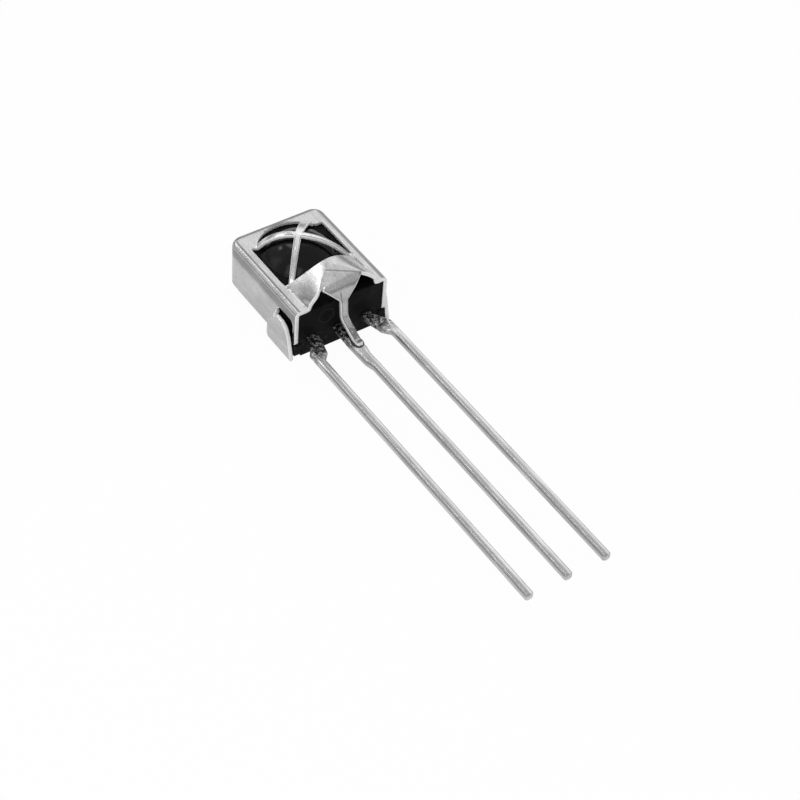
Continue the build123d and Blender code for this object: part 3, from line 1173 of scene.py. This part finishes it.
    def leg_strip(self) -> Grid:
        """Left front leg: the wall's strip in front of the notch, with a rounded foot.

        Returns:
            Points; each row is a height.
        """
        along = self.wall_places()
        along = along[along <= self.leg + 1e-6]
        near = np.minimum(along, self.leg - along)
        dip = np.clip(self.leg_round - near, 0.0, self.leg_round)
        foot = self.leg_bottom + self.leg_round - np.sqrt(self.leg_round**2 - dip**2)
        climb = np.linspace(0.0, 1.0, 7)[:, None]
        return points(-self.half, along, between(foot, self.notch_top - self.notch_radius, climb))

    def ear_strip(self, face: float) -> Grid:
        """Left joggle: it leaves the wall at the hinge line and eases out to the ear's back edge.

        Args:
            face: How far the ear's outer face stands from the middle.

        Returns:
            Points from the hinge line to the ear; each row is one step of the way between them.
        """
        (y_top, _), (y_low, _) = self.hinge
        along = self.wall_places()
        along = along[(along >= y_top - 1e-6) & (along <= y_low + 1e-6)]
        end_z = between(self.ear_hinge, self.ear_radius, (along - y_top) / (y_low - y_top))
        end_y = np.interp(end_z, *np.array(self.ear_back).T)
        ratio = np.linspace(0.0, 1.0, 9)[:, None]
        return points(
            -between(self.half, face, smooth(ratio)),
            between(along, end_y, ratio),
            between(self.lower_edge(along), end_z, ratio),
        )

    def ear(self, face: float) -> Grid:
        """Left ear: a plate between its sheared front edge and the joggle, folded in at the bottom.

        Rows go down by height, then round the fold by angle, then in along the resting face.

        Args:
            face: How far the ear's outer face stands from the middle.

        Returns:
            Points from the ear's top edge to the end of the fold.
        """
        heights = np.concatenate([self.ear_crown, self.ear_strip(face)[-1, :, 2]])
        y_back = np.interp(heights, *np.array(self.ear_back).T)
        y_front = np.interp(heights, *np.array(self.ear_front).T)
        ratio = np.linspace(0.0, 1.0, 13)
        flat_y = between(y_front[:, None], y_back[:, None], ratio)
        turn = quarter(6)[1:, None]
        late = (turn / (math.pi / 2) - self.fold_share) / (1.0 - self.fold_share)
        front_end, back_end = self.fold_ends
        fold_front = between(y_front[-1], front_end, smooth(late))
        fold_y = between(fold_front, between(y_back[-1], back_end, np.sin(turn)), ratio)
        inward = np.linspace(self.ear_radius, self.ear_fold, 5)[1:, None]
        return np.concatenate(
            [
                points(-face, flat_y, heights[:, None]),
                points(
                    -face + self.ear_radius * (1.0 - np.cos(turn)),
                    fold_y,
                    self.ear_radius * (1.0 - np.sin(turn)),
                ),
                points(-face + inward, fold_y[-1], 0.0),
            ]
        )

    def arch_point(self, ratio: np.ndarray, share: Numbers, along: Numbers) -> Grid:
        """Points on the hood's arch.

        Args:
            ratio: Place across the arch, 0 at the left foot and 1 at the right.
            share: Place between the front edge, 0, and the window, 1.
            along: The same place in millimetres.

        Returns:
            Points of a cubic Bezier curve whose feet, lean and rise change evenly along the hood.
            Its two handles stand at the rise over 0.75, because it climbs to 0.75 of their height.
        """
        left = between(self.feet_front[0], self.feet_window[0], share)
        right = between(self.feet_front[1], self.feet_window[1], share)
        rise, lean_left, lean_right = (
            between(front, window, share)
            for window, front in (self.rise, self.lean_left, self.lean_right)
        )
        low, high = 3 * (1 - ratio) ** 2 * ratio, 3 * (1 - ratio) * ratio**2
        across = left * (1 - ratio) ** 3 + (left + lean_left) * low
        across = across + (right - lean_right) * high + right * ratio**3
        return points(across, along, self.top + rise / 0.75 * (low + high))

    def nose_curve(self) -> tuple[np.ndarray, np.ndarray]:
        """Side view of the nose and tongue: straight runs joined by parabolic arcs.

        Returns:
            Distances along the curve, and the matching places and heights.
        """
        corners = np.array(self.nose_corners)
        ratio = np.linspace(0.0, 1.0, 12)[:, None]
        path = [corners[0]]
        for k, radius in enumerate(self.nose_radii, start=1):
            corner = corners[k]
            arrive = (corner - corners[k - 1]) / np.hypot(*(corner - corners[k - 1]))
            leave = (corners[k + 1] - corner) / np.hypot(*(corners[k + 1] - corner))
            turn = math.acos(float(np.clip(arrive @ leave, -1.0, 1.0)))
            reach = radius * math.tan(turn / 2)
            start, end = corner - arrive * reach, corner + leave * reach
            path.append(
                (1 - ratio) ** 2 * start + 2 * ratio * (1 - ratio) * corner + ratio**2 * end
            )
        line = np.vstack([*path, corners[-1]])
        distance = np.append(0.0, np.cumsum(np.hypot(*np.diff(line, axis=0).T)))
        return distance, line

    def hood(self) -> tuple[Grid, Grid]:
        """The hood in two grids: the arch, and the flap with the tongue below it.

        The arch's columns end where they meet the side view of the nose, or at the front edge;
        the flap starts on that line, narrows evenly to the tongue and follows the side view. Over
        the tongue's tip the width falls off as a quarter of an ellipse.

        Returns:
            The arch and the flap, which share a row.
        """
        flap_left, flap_right = self.flap_share
        ratio = stations((0.0, 0), (flap_left, 14), (flap_right, 12), (1.0, 14))
        distance, line = self.nose_curve()
        peak = self.arch_point(ratio, self.peak_share, 0.0)[:, 2]
        front = np.maximum(np.interp(-peak, -line[1:, 1], line[1:, 0]), 0.0)
        flank = (1.0 - np.clip((peak - self.top) / self.rise[1], 0.0, 1.0)) ** 2
        back = between(*self.hood_back, flank)
        back[[0, -1]] = self.hood_back[1]
        rows = np.linspace(1.0, 0.0, self.arch_rows)[:, None]
        along = front + (back - front) * rows
        arch = self.arch_point(ratio, along / back, along)
        inside = (ratio >= flap_left - 1e-9) & (ratio <= flap_right + 1e-9)
        start = arch[-1, inside]
        from_top = np.interp(-start[:, 1], -line[:, 0], distance)
        last = distance[-1]
        where = between(from_top, last, np.linspace(0.0, 1.0, 49)[:, None] ** self.flap_spread)
        place_y, place_z = (np.interp(where, distance, line[:, axis]) for axis in (0, 1))
        width = np.interp(place_z, self.flap_heights, self.flap_halves)
        spread = start[:, 0] / np.where(start[:, 0] < 0, -start[0, 0], start[-1, 0])
        narrow, drop = (smooth((where - from_top) / ease) for ease in self.flap_ease)
        across = between(start[:, 0], spread * width, narrow)
        over = np.clip((where - last + self.tongue_tip) / self.tongue_tip, 0.0, 1.0)
        across = across * np.sqrt(np.maximum(1.0 - (over * self.tip_draw) ** 2, 0.0))
        height = between(start[:, 2], place_z, drop)
        flap = points(across, place_y, height)
        flap[0] = start
        return self.eased(arch, flap, np.flatnonzero(inside))

    def eased(self, arch: Grid, flap: Grid, columns: np.ndarray) -> tuple[Grid, Grid]:
        """Round the line where the arch turns over into the flap, and press in the facet.

        Every point is drawn towards the mean of its neighbours on its own column, many times, with
        a weight that falls off with the number of rows from the line and towards both sides.

        Args:
            arch: The arch's points.
            flap: The flap's points, which start on the arch's last row.
            columns: The arch's columns that carry on into the flap.

        Returns:
            Both grids, which still share that row.
        """
        path = np.concatenate([arch[:, columns], flap[1:]])
        rows = np.arange(len(path)) - (len(arch) - 1)
        spot = np.linspace(0.0, 1.0, len(columns))
        aside = smooth(spot / self.crest_sides) * smooth((1.0 - spot) / self.crest_sides)
        near = np.exp(-((rows / self.crest_rows) ** 2))[:, None]
        weight = 0.5 * (near * aside)[1:-1, :, None]
        for _ in range(self.crest_rounds):
            mean = (path[:-2] + path[2:]) / 2
            path[1:-1] += (mean - path[1:-1]) * weight
        arch[:, columns] = path[: len(arch)]
        return self.dished(arch), self.dished(path[len(arch) - 1 :])

    def dished(self, grid: Grid) -> Grid:
        """Press the flat facet into the hood's top front.

        The height becomes the lesser of itself and a slanting plane, rounded where they meet: half
        the sum less half the root of the squared difference plus a small square.

        Args:
            grid: Points of the hood.

        Returns:
            The same points, lowered onto the facet's plane.
        """
        x_facet, y_facet, z_facet = self.facet_point
        x_slope, y_slope = self.facet_slope
        plane = z_facet + x_slope * (grid[..., 0] - x_facet) + y_slope * (grid[..., 1] - y_facet)
        height = grid[..., 2]
        gap = np.sqrt((height - plane) ** 2 + self.facet_soft**2)
        return raised(grid, (height + plane - gap) / 2)

    def rib_points(self, plan: np.ndarray, curve: Numbers, end: float) -> Grid:
        """Raise plan points to a rib's top face.

        It is a circle through the crossing, level there, whose curvature is given; it is eased
        into the plate where it lands, and dips a little under the plate's face past its end.

        Args:
            plan: Plan points of the rib.
            curve: Curvature of the circle, at each point or all over.
            end: Reach from the crossing at which the arm lands.

        Returns:
            The points.
        """
        reach = np.hypot(plan[..., 0] - self.crossing[0], plan[..., 1] - self.crossing[1])
        radius = 1.0 / curve
        lift = self.rib_rise - radius + np.sqrt(np.maximum(radius**2 - reach**2, 0.0))
        soft, flat = self.landing_soft, self.landing_flat
        landed = 0.5 * (lift + flat + np.sqrt((lift - flat) ** 2 + soft**2)) - soft / 2
        dip_reach, dip = self.landing_dip
        sunk = smooth((reach - end) / dip_reach) * dip
        return raised(plan, self.top + np.maximum(landed, flat) - sunk)

    def ribs(self) -> Surface:
        """The crossed ribs: a four-sided patch at the crossing and four arms ruled to their ends.

        Each corner of the patch is where the left side of one arm meets the right side of the
        next. An arm takes on its own curvature over the first third of its way.

        Returns:
            The surface, not yet built.
        """
        core = np.array(self.crossing)
        ends = np.array([[arm.across, arm.along] for arm in self.arms])
        span = np.hypot(*(ends - core).T)
        out = (ends - core) / span[:, None]
        left = np.stack([-out[:, 1], out[:, 0]], -1)
        near = np.array([arm.half_near for arm in self.arms])
        after = np.roll(np.arange(4), -1)
        sides, offsets = np.stack([left, left[after]], 1), np.stack([near, -near[after]], -1)
        corners = core + np.linalg.solve(sides, offsets[..., None])[..., 0]
        across = np.linspace(0.0, 1.0, 9)[:, None]
        one, two = between(corners[3], corners[2], across), between(corners[0], corners[1], across)
        patch = between(one[:, None], two[:, None], across[None])
        surface = Surface("guard_ribs").add(self.rib_points(patch, self.rib_curve, math.inf))
        ratio = np.linspace(0.0, 1.0, 45)[:, None, None]
        for k, arm in enumerate(self.arms):
            drop = self.rib_rise - arm.lift
            curve = 2 * drop / (span[k] ** 2 + drop**2)
            root = between(corners[k - 1], corners[k], across)
            tip = ends[k] + out[k] * self.arm_over + left[k] * arm.half_far * (2 * across - 1)
            bend = between(self.rib_curve, curve, smooth(ratio[..., 0] * 3.0))
            surface.add(self.rib_points(between(root, tip, ratio), bend, float(span[k])))
        return surface

    def finished(
        self, surface: Surface, finish: Finish, wall: float, cut: Pair,
        kinks: Sequence[Sequence[float]] = (), nodes: Sequence[str] = (),
    ) -> None:
        """Give an open surface its wall, finishes and rounded edges with the painted edge
        highlight.

        Args:
            surface: The surface.
            finish: What covers its faces; the cut edges get the sheared finish, painted near white
                as a highlight.
            wall: Thickness of the sheet.
            cut: Width of the rounded edge with the painted highlight, and the least angle of one.
            kinks: Points, each with a reach, round which the edges stay sharp.
            nodes: CAD nodes that the piece replaces.
        """
        piece = surface.build(merge=0.002)
        consistent(piece)
        thick(piece, wall)
        settle(piece, finish, "tinplate", *nodes)
        # Second material: the sheared finish, painted near white as a highlight on the cut edges.
        Finish.SHEARED.also_on(piece)
        bevel_highlit_edges(piece, *cut, kinks)
        level(piece)

    def build(self) -> None:
        """Make the pressed sheet and the ribs, and dress both."""
        sheet = Surface("shield_sheet")
        kinks: list[Sequence[float]] = []
        for side, face in zip((1.0, -1.0), self.ear_faces):
            for grid in (self.leg_strip(), self.ear_strip(face), self.ear(face)):
                sheet.add(grid * np.array([side, 1.0, 1.0]))
            kinks += [(side * (inset - face), *rest) for inset, *rest in self.ear_kinks]
        arch, flap = self.hood()
        kinks += [(*point, self.crest_kink) for point in flap[0, [0, -1]]]
        sheet.add(self.shell()).add(arch).add(flap)
        self.finished(
            sheet, Finish.TINPLATE, self.sheet, self.sheet_cut, kinks, ["tinplate_shield"]
        )
        self.finished(self.ribs(), Finish.RIB, self.rib_sheet, self.rib_cut)


@dataclass
class Moulding:
    """Moulded epoxy body with side lugs and the lens."""

    half: float = 2.88
    front: float = 0.08
    back: float = 7.23
    top: float = 3.35
    corner: float = 0.48
    bed_half: float = 2.66
    bed_back: float = 2.72
    bed_height: float = 0.25
    lens_radius: float = 2.2
    lens_rise: float = 1.15
    lens_fillet: float = 0.07
    lens_depth: float = 0.3
    centre: float = 4.53
    lug_sides: Pair = (-3.15, -2.66)
    lug_back: float = 2.15
    lug_heights: Pair = (0.255, 1.05)
    edge_width: float = 0.05
    edge_angle: float = 35.0

    def outline(self, half_front: float) -> np.ndarray:
        """Closed plan of the body, seen from above, anticlockwise from the middle of the front.

        Args:
            half_front: Half the width between the ears' beds, in front of their back edge.

        Returns:
            Points in a ring.
        """
        middle = np.array([self.half - self.corner, self.back - self.corner])
        turn = quarter(6)[1:]
        across = [
            stations((0.0, 0), (half_front, 14)),
            np.full(9, half_front),
            np.full(9, self.half),
            middle[0] + self.corner * np.cos(turn),
            stations((middle[0], 0), (0.0, 12))[1:],
        ]
        along = [
            np.full(15, self.front),
            stations((self.front, 0), (self.bed_back, 9))[1:],
            [self.bed_back + 0.002, *stations((self.bed_back, 0), (middle[1], 8))[1:]],
            middle[1] + self.corner * np.sin(turn),
            np.full(12, self.back),
        ]
        side = np.stack([np.concatenate(across), np.concatenate(along)], -1)
        return np.vstack([side, side[-2:0:-1] * np.array([-1.0, 1.0])])

    def body(self) -> Grid:
        """Rings from the middle of the resting face, up the sides, to the middle of the top.

        Returns:
            Rings of points.
        """
        low, high = self.outline(self.bed_half), self.outline(self.half)
        core = np.array([0.0, self.centre])
        rings = [(low, share, 0.0) for share in (0.02, 0.35, 0.7, 0.97, 1.0)]
        rings += [(low, 1.0, self.bed_height), (high, 1.0, self.bed_height + 0.01)]
        rings += [(high, 1.0, height) for height in (0.8, 1.1, 1.6, 2.2, 2.8, 3.2, self.top)]
        rings += [(high, share, self.top) for share in (0.97, 0.9, 0.6, 0.3, 0.02)]
        return np.stack([raised(core + (plan - core) * share, up) for plan, share, up in rings])

    def lens(self) -> Grid:
        """Rings of the lens: a short drum, a round fillet at the top face, and a spherical cap.

        The ball's radius is half the sum of the squared rim radius and the squared rise, over the
        rise.

        Returns:
            Rings of points.
        """
        angle = around(96)
        ball = (self.lens_radius**2 + self.lens_rise**2) / (2 * self.lens_rise)
        edge = math.asin(self.lens_radius / ball)
        swell, tilt = quarter(4), np.linspace(edge - 0.035, 0.008, 30)
        radius = np.concatenate(
            [
                [0.05, self.lens_radius],
                self.lens_radius + self.lens_fillet * (1 - np.sin(swell)),
                ball * np.sin(tilt),
            ]
        )[:, None]
        height = self.top + np.concatenate(
            [
                [-self.lens_depth, -self.lens_depth],
                self.lens_fillet * (1 - np.cos(swell)) - 0.005,
                self.lens_rise - ball * (1 - np.cos(tilt)),
            ]
        )[:, None]
        return points(radius * np.cos(angle), self.centre + radius * np.sin(angle), height)

    def lug(self) -> Grid:
        """Left lug behind the ear: rings of a block from its bottom to its top.

        Returns:
            Rings of points.
        """
        (left, right), back, (low, high) = self.lug_sides, self.lug_back, self.lug_heights
        plan = np.array([[left, 0.0], [right, 0.0], [right, back], [left, back]])
        core = plan.mean(axis=0)
        ratio = np.linspace(0, 1, 6)[:-1, None]
        ring = np.vstack([between(plan[k], plan[(k + 1) % 4], ratio) for k in range(4)])
        rings = [(share, low) for share in (0.01, 0.9, 1.0)] + [(1.0, 0.5), (1.0, 0.8)]
        rings += [(share, high) for share in (1.0, 0.9, 0.01)]
        return np.stack([raised(core + (ring - core) * share, up) for share, up in rings])

    def build(self) -> None:
        """Make the body and its lugs, and dress them."""
        surface = Surface("epoxy_body").add(self.lug(), closed=True).mirrored()
        piece = surface.add(self.body(), closed=True).build(solid=True)
        rounded(piece, self.edge_width, self.edge_angle)
        level(piece)
        settle(piece, Finish.EPOXY, "dark_epoxy", "moulded_body")
        dome = Surface("lens_dome").add(self.lens(), closed=True).build(solid=True)
        settle(dome, Finish.LENS, "dark_epoxy")


@dataclass
class Leads:
    """Three stamped leads, each a rounded bar lofted along its length.

    The marks are stations along a lead with the steps up to each. An edge is a row of pairs, each
    a place along and the edge there; at the places named straight it reaches the lead's width.
    """

    pitch: float = TinnedLead.pitch
    half_width: float = 0.27
    height: float = 1.1
    half_thick: float = 0.24
    reach: float = 21.7
    squareness: float = 3.4
    tip: float = 0.1
    outer_marks: tuple[tuple[float, int], ...] = (
        (1.0, 0), (-0.3, 3), (-1.1, 4), (-1.5, 3), (-1.95, 3),
    )
    outer_inside: tuple[Pair, ...] = ((-0.3, 1.525), (-1.5, 1.85))
    outer_outside: tuple[Pair, ...] = ((-0.3, 2.275),)
    outer_straight: Pair = (-1.95, -1.1)
    paddle: Pair = (5.48, 2.53)
    paddle_half: float = 1.95
    middle_marks: tuple[tuple[float, int], ...] = (
        (2.529, 0), (-2.3, 6), (-2.75, 3), (-3.55, 3), (-4.0, 3),
    )
    middle_left: tuple[Pair, ...] = ((2.529, -0.6), (-0.6, -0.45), (-1.7, -0.5), (-3.3, -0.44))
    middle_right: tuple[Pair, ...] = ((2.529, 0.36), (-2.3, 0.36))
    middle_straight: Pair = (-3.8, -2.75)

    def bar(self, along: np.ndarray, edges: Sequence[Sequence[Pair]]) -> Grid:
        """Loft of the section along Y, with a rounded tip and a drawn-in ring at each end.

        The section is a superellipse: the angle's cosine and sine, each to the power of 2 over
        the squareness. The tip draws both edges in round a quarter circle.

        Args:
            along: Places of the sections, up to where the tip starts.
            edges: The left and the right edge, each as pairs of a place and the edge there.

        Returns:
            Rings of points.
        """
        angle = around(32) + math.pi / 32
        section = np.stack([np.cos(angle), np.sin(angle)], -1)
        section = np.sign(section) * np.abs(section) ** (2 / self.squareness)
        turn = quarter(4)[1:]
        inset = self.tip * (1 - np.cos(turn))
        left, right = (
            np.append(np.interp(-along, -place, edge), edge[-1] + way * inset)
            for way, (place, edge) in zip((1, -1), (np.array(side).T for side in edges))
        )
        along = np.append(along, -self.reach + self.tip * (1 - np.sin(turn)))
        middle, half = (left + right) / 2, (right - left) / 2
        rings = points(
            middle[:, None] + section[:, 0] * half[:, None],
            along[:, None],
            self.height + section[:, 1] * self.half_thick,
        )
        head, tail = (
            [core + (ring - core) * share for share in (0.9, 0.02)]
            for ring, core in ((rings[k], rings[k].mean(axis=0)) for k in (0, -1))
        )
        return np.concatenate([head[::-1], rings, tail])

    def outer(self, sign: int) -> Grid:
        """Outer lead on one side, from its pad to its tip.

        Args:
            sign: 1 for the right and -1 for the left.

        Returns:
            Rings of points.
        """
        inner, outer = self.outer_straight
        sides = (
            (*self.outer_inside, (inner, self.pitch - self.half_width)),
            (*self.outer_outside, (outer, self.pitch + self.half_width)),
        )
        edges = [[(place, sign * edge) for place, edge in side] for side in sides]
        return self.bar(stations(*self.outer_marks, (self.tip - self.reach, 30)), edges[::sign])

    def middle(self) -> Grid:
        """Middle lead, from the back of its paddle to its tip.

        Returns:
            Rings of points.
        """
        back, front = self.paddle
        along = np.append(
            stations((back, 0), (front, 4)),
            stations(*self.middle_marks, (self.tip - self.reach, 28)),
        )
        left_end, right_end = self.middle_straight
        left = [(front, -self.paddle_half), *self.middle_left, (left_end, -self.half_width)]
        right = [(front, self.paddle_half), *self.middle_right, (right_end, self.half_width)]
        return self.bar(along, (left, right))

    def build(self) -> None:
        """Make the three leads and dress them."""
        for node, rings in (
            ("supply_lead", self.outer(1)),
            ("output_lead", self.outer(-1)),
            ("ground_lead", self.middle()),
        ):
            surface = Surface(node.replace("_lead", "_bar")).add(rings, closed=True)
            piece = surface.build(merge=0.0001, solid=True)
            level(piece)
            settle(piece, Finish.LEAD, "tinned_lead", node)


@dataclass
class SolderJoint:
    """Mound of solder that wets the middle lead round the tongue's end."""

    centre: float = Solder.centre
    half_width: float = Solder.half_width
    half_length: float = Solder.half_length
    lobe_depth: float = 0.05
    lobe_turn: float = 0.6
    base: float = 1.315
    rise: float = 0.23
    rim_power: float = 0.7
    foot: float = 0.02

    def mound(self) -> Grid:
        """Rings of a three-lobed dome whose height falls off as a cosine, steeper near its rim.

        Returns:
            Rings of points.
        """
        angle = around(48)
        share = np.linspace(1.0, 0.01, 16)[:, None]
        reach = share * (1.0 + self.lobe_depth * np.cos(3 * angle + self.lobe_turn))
        dome = points(
            self.half_width * reach * np.cos(angle),
            self.centre + self.half_length * reach * np.sin(angle),
            self.base + self.rise * np.cos(share * math.pi / 2) ** self.rim_power,
        )
        return np.concatenate([raised(dome[[-1, 0]], self.base - self.foot), dome])

    def build(self) -> None:
        """Make the mound and dress it."""
        piece = Surface("solder_mound").add(self.mound(), closed=True).build(solid=True)
        settle(piece, Finish.SOLDER, "solder", "shield_solder_joint")


@dataclass
class SealedParts:
    """Chips, attach layers and bond wires inside the moulding, kept as the CAD has them."""

    finishes: dict[str, Finish] = field(
        default_factory=lambda: {
            "attach_layer": Finish.ATTACH,
            "chip": Finish.SILICON,
            "bond_wire": Finish.GOLD,
        }
    )

    def build(self) -> None:
        """Dress each sealed node by the end of its name."""
        for name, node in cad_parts.items():
            for ending, finish in self.finishes.items():
                if name.endswith(ending):
                    finish.on(node)
                    log.info("%s: %s", name, finish.value.name)


@dataclass(frozen=True)
class Lamp:
    """One square soft lamp: its place, its side, and its power in watts."""

    name: str
    place: Triple
    side: float
    power: float

    def hang(self) -> None:
        """Make the lamp and turn it towards the origin."""
        data = bpy.data.lights.new(self.name, "AREA")
        data.shape = "SQUARE"
        data.size = self.side * MM
        data.energy = self.power
        lamp = bpy.data.objects.new(self.name, data)
        bpy.context.scene.collection.objects.link(lamp)
        place = Vector(self.place) * MM
        turn = (-place).to_track_quat("-Z", "Y").to_matrix().to_4x4()
        lamp.matrix_world = Matrix.Translation(place) @ turn


@dataclass
class Studio:
    """White table, soft lamps, a studio for a sky, and the camera at the photograph's view.

    The sky's places and widths are parts of a unit vector that points at it.
    """

    target: Triple = (-1.369, -2.764, 0.0)
    azimuth: float = -35.822
    elevation: float = 45.306
    roll: float = 3.597
    distance: float = 114.8
    lens: float = 90.0
    shift: Pair = (0.0676, -0.0275)
    white: tuple[float, ...] = (1.0, 1.0, 1.0, 1.0)
    bright: float = 1.25
    dim: float = 0.6
    wall_along: Pair = (0.1, 0.45)
    wall_up: Pair = (0.25, 0.5)
    strip_place: float = -0.03
    strip_fade: Pair = (0.08, 0.02)
    strip_glow: float = 3.4
    gap_place: float = 0.2
    gap_fade: Pair = (0.15, 0.02)
    gap_depth: float = 0.8
    shade_place: float = -0.36
    shade_fade: Pair = (0.32, 0.2)
    shade_depth: float = 0.6
    horizon_fade: Pair = (0.36, 0.08)
    horizon_depth: float = 0.6
    table_half: float = 400.0
    table_drop: float = 0.004
    table_colour: tuple[float, ...] = (0.9, 0.9, 0.9, 1.0)
    table_seen: float = 0.96
    table_mirrored: float = 0.42
    lamps: tuple[Lamp, ...] = (
        Lamp("back_lamp", (-34.0, 92.0, 80.0), 16.0, 0.004),
        Lamp("side_lamp", (-80.0, -60.0, 75.0), 90.0, 0.035),
    )

    def table(self) -> None:
        """A wide table, white to the camera and in the metal, that takes the part's soft shadow."""
        ticks = np.linspace(-self.table_half, self.table_half, 5)
        piece = Surface("table").add(points(ticks, ticks[:, None], -self.table_drop)).build()
        make = Shader("table_white")
        path = make.node("ShaderNodeLightPath").outputs
        seen = Value(make, path["Is Camera Ray"]) * self.table_seen
        mirrored = Value(make, path["Is Glossy Ray"]) * self.table_mirrored
        matt = make.node("ShaderNodeBsdfDiffuse", Color=self.table_colour)
        glow = make.node("ShaderNodeEmission", Color=self.white, Strength=1.0)
        both = make.node(
            "ShaderNodeMixShader", None, seen + mirrored, matt.outputs[0], glow.outputs[0]
        )
        make.feed(make.out.inputs["Surface"], both.outputs[0])
        piece.data.materials.append(make.material)

    def sky(self) -> None:
        """White to the camera; as light, a studio that is dimmer towards the horizon.

        Behind the part stands a wide bright wall with a glowing strip, a dark gap and a shade.
        """
        world = bpy.data.worlds.new("studio_sky")
        bpy.context.scene.world = world
        world.use_nodes = True
        make = Graph(world.node_tree)
        place = make.node("ShaderNodeTexCoord").outputs["Generated"]
        split = make.node("ShaderNodeSeparateXYZ", None, place)
        across, along, up = (Value(make, output) for output in split.outputs)
        wall = along.step(*self.wall_along) * up.step(*self.wall_up)
        strip = abs(across - self.strip_place).step(*self.strip_fade)
        gap = abs(across - self.gap_place).step(*self.gap_fade)
        shade = abs(across - self.shade_place).step(*self.shade_fade)
        horizon = abs(up).step(*self.horizon_fade)
        strength = self.dim + wall * (self.bright - self.dim) - wall * shade * self.shade_depth
        strength = strength + wall * (strip * self.strip_glow - gap * self.gap_depth)
        strength = strength * (1.0 - horizon * self.horizon_depth)
        light = make.node("ShaderNodeBackground", Color=self.white, Strength=strength)
        shown = make.node("ShaderNodeBackground", Color=self.white, Strength=1.0)
        camera = make.node("ShaderNodeLightPath").outputs["Is Camera Ray"]
        both = make.node(
            "ShaderNodeMixShader", None, camera, light.outputs[0], shown.outputs[0]
        )
        make.node("ShaderNodeOutputWorld", Surface=both.outputs[0])

    def camera(self) -> None:
        """Camera on the photograph's line of sight, with its small roll and shift."""
        angles = (self.azimuth, self.elevation, self.roll)
        turn, tilt, roll = (math.radians(angle) for angle in angles)
        right = Vector((math.cos(turn), math.sin(turn), 0.0))
        level_back = Vector((math.sin(turn), -math.cos(turn), 0.0))
        back = level_back * math.cos(tilt) + Vector((0.0, 0.0, math.sin(tilt)))
        up = back.cross(right)
        x_axis = right * math.cos(roll) + up * math.sin(roll)
        y_axis = up * math.cos(roll) - right * math.sin(roll)
        place = (Vector(self.target) + back * self.distance) * MM
        data = bpy.data.cameras.new("photo_view")
        data.lens = self.lens
        data.sensor_width = 36.0
        data.shift_x, data.shift_y = self.shift
        data.clip_start = MM
        camera = bpy.data.objects.new("photo_view", data)
        bpy.context.scene.collection.objects.link(camera)
        turned = Matrix((x_axis, y_axis, back)).transposed().to_4x4()
        camera.matrix_world = Matrix.Translation(place) @ turned
        bpy.context.scene.camera = camera

    def build(self) -> None:
        """Set the table, the sky, the lamps and the camera."""
        self.table()
        self.sky()
        for lamp in self.lamps:
            lamp.hang()
        self.camera()
        bpy.context.scene.view_settings.view_transform = "Standard"


def main() -> None:
    """Build each sub-assembly in order."""
    logging.basicConfig(level=logging.INFO, format="%(name)s %(message)s")
    for part in (Moulding(), Leads(), SolderJoint(), Shield(), SealedParts(), Studio()):
        log.info("building %s", type(part).__name__)
        part.build()


if __name__ == "__main__":
    main()
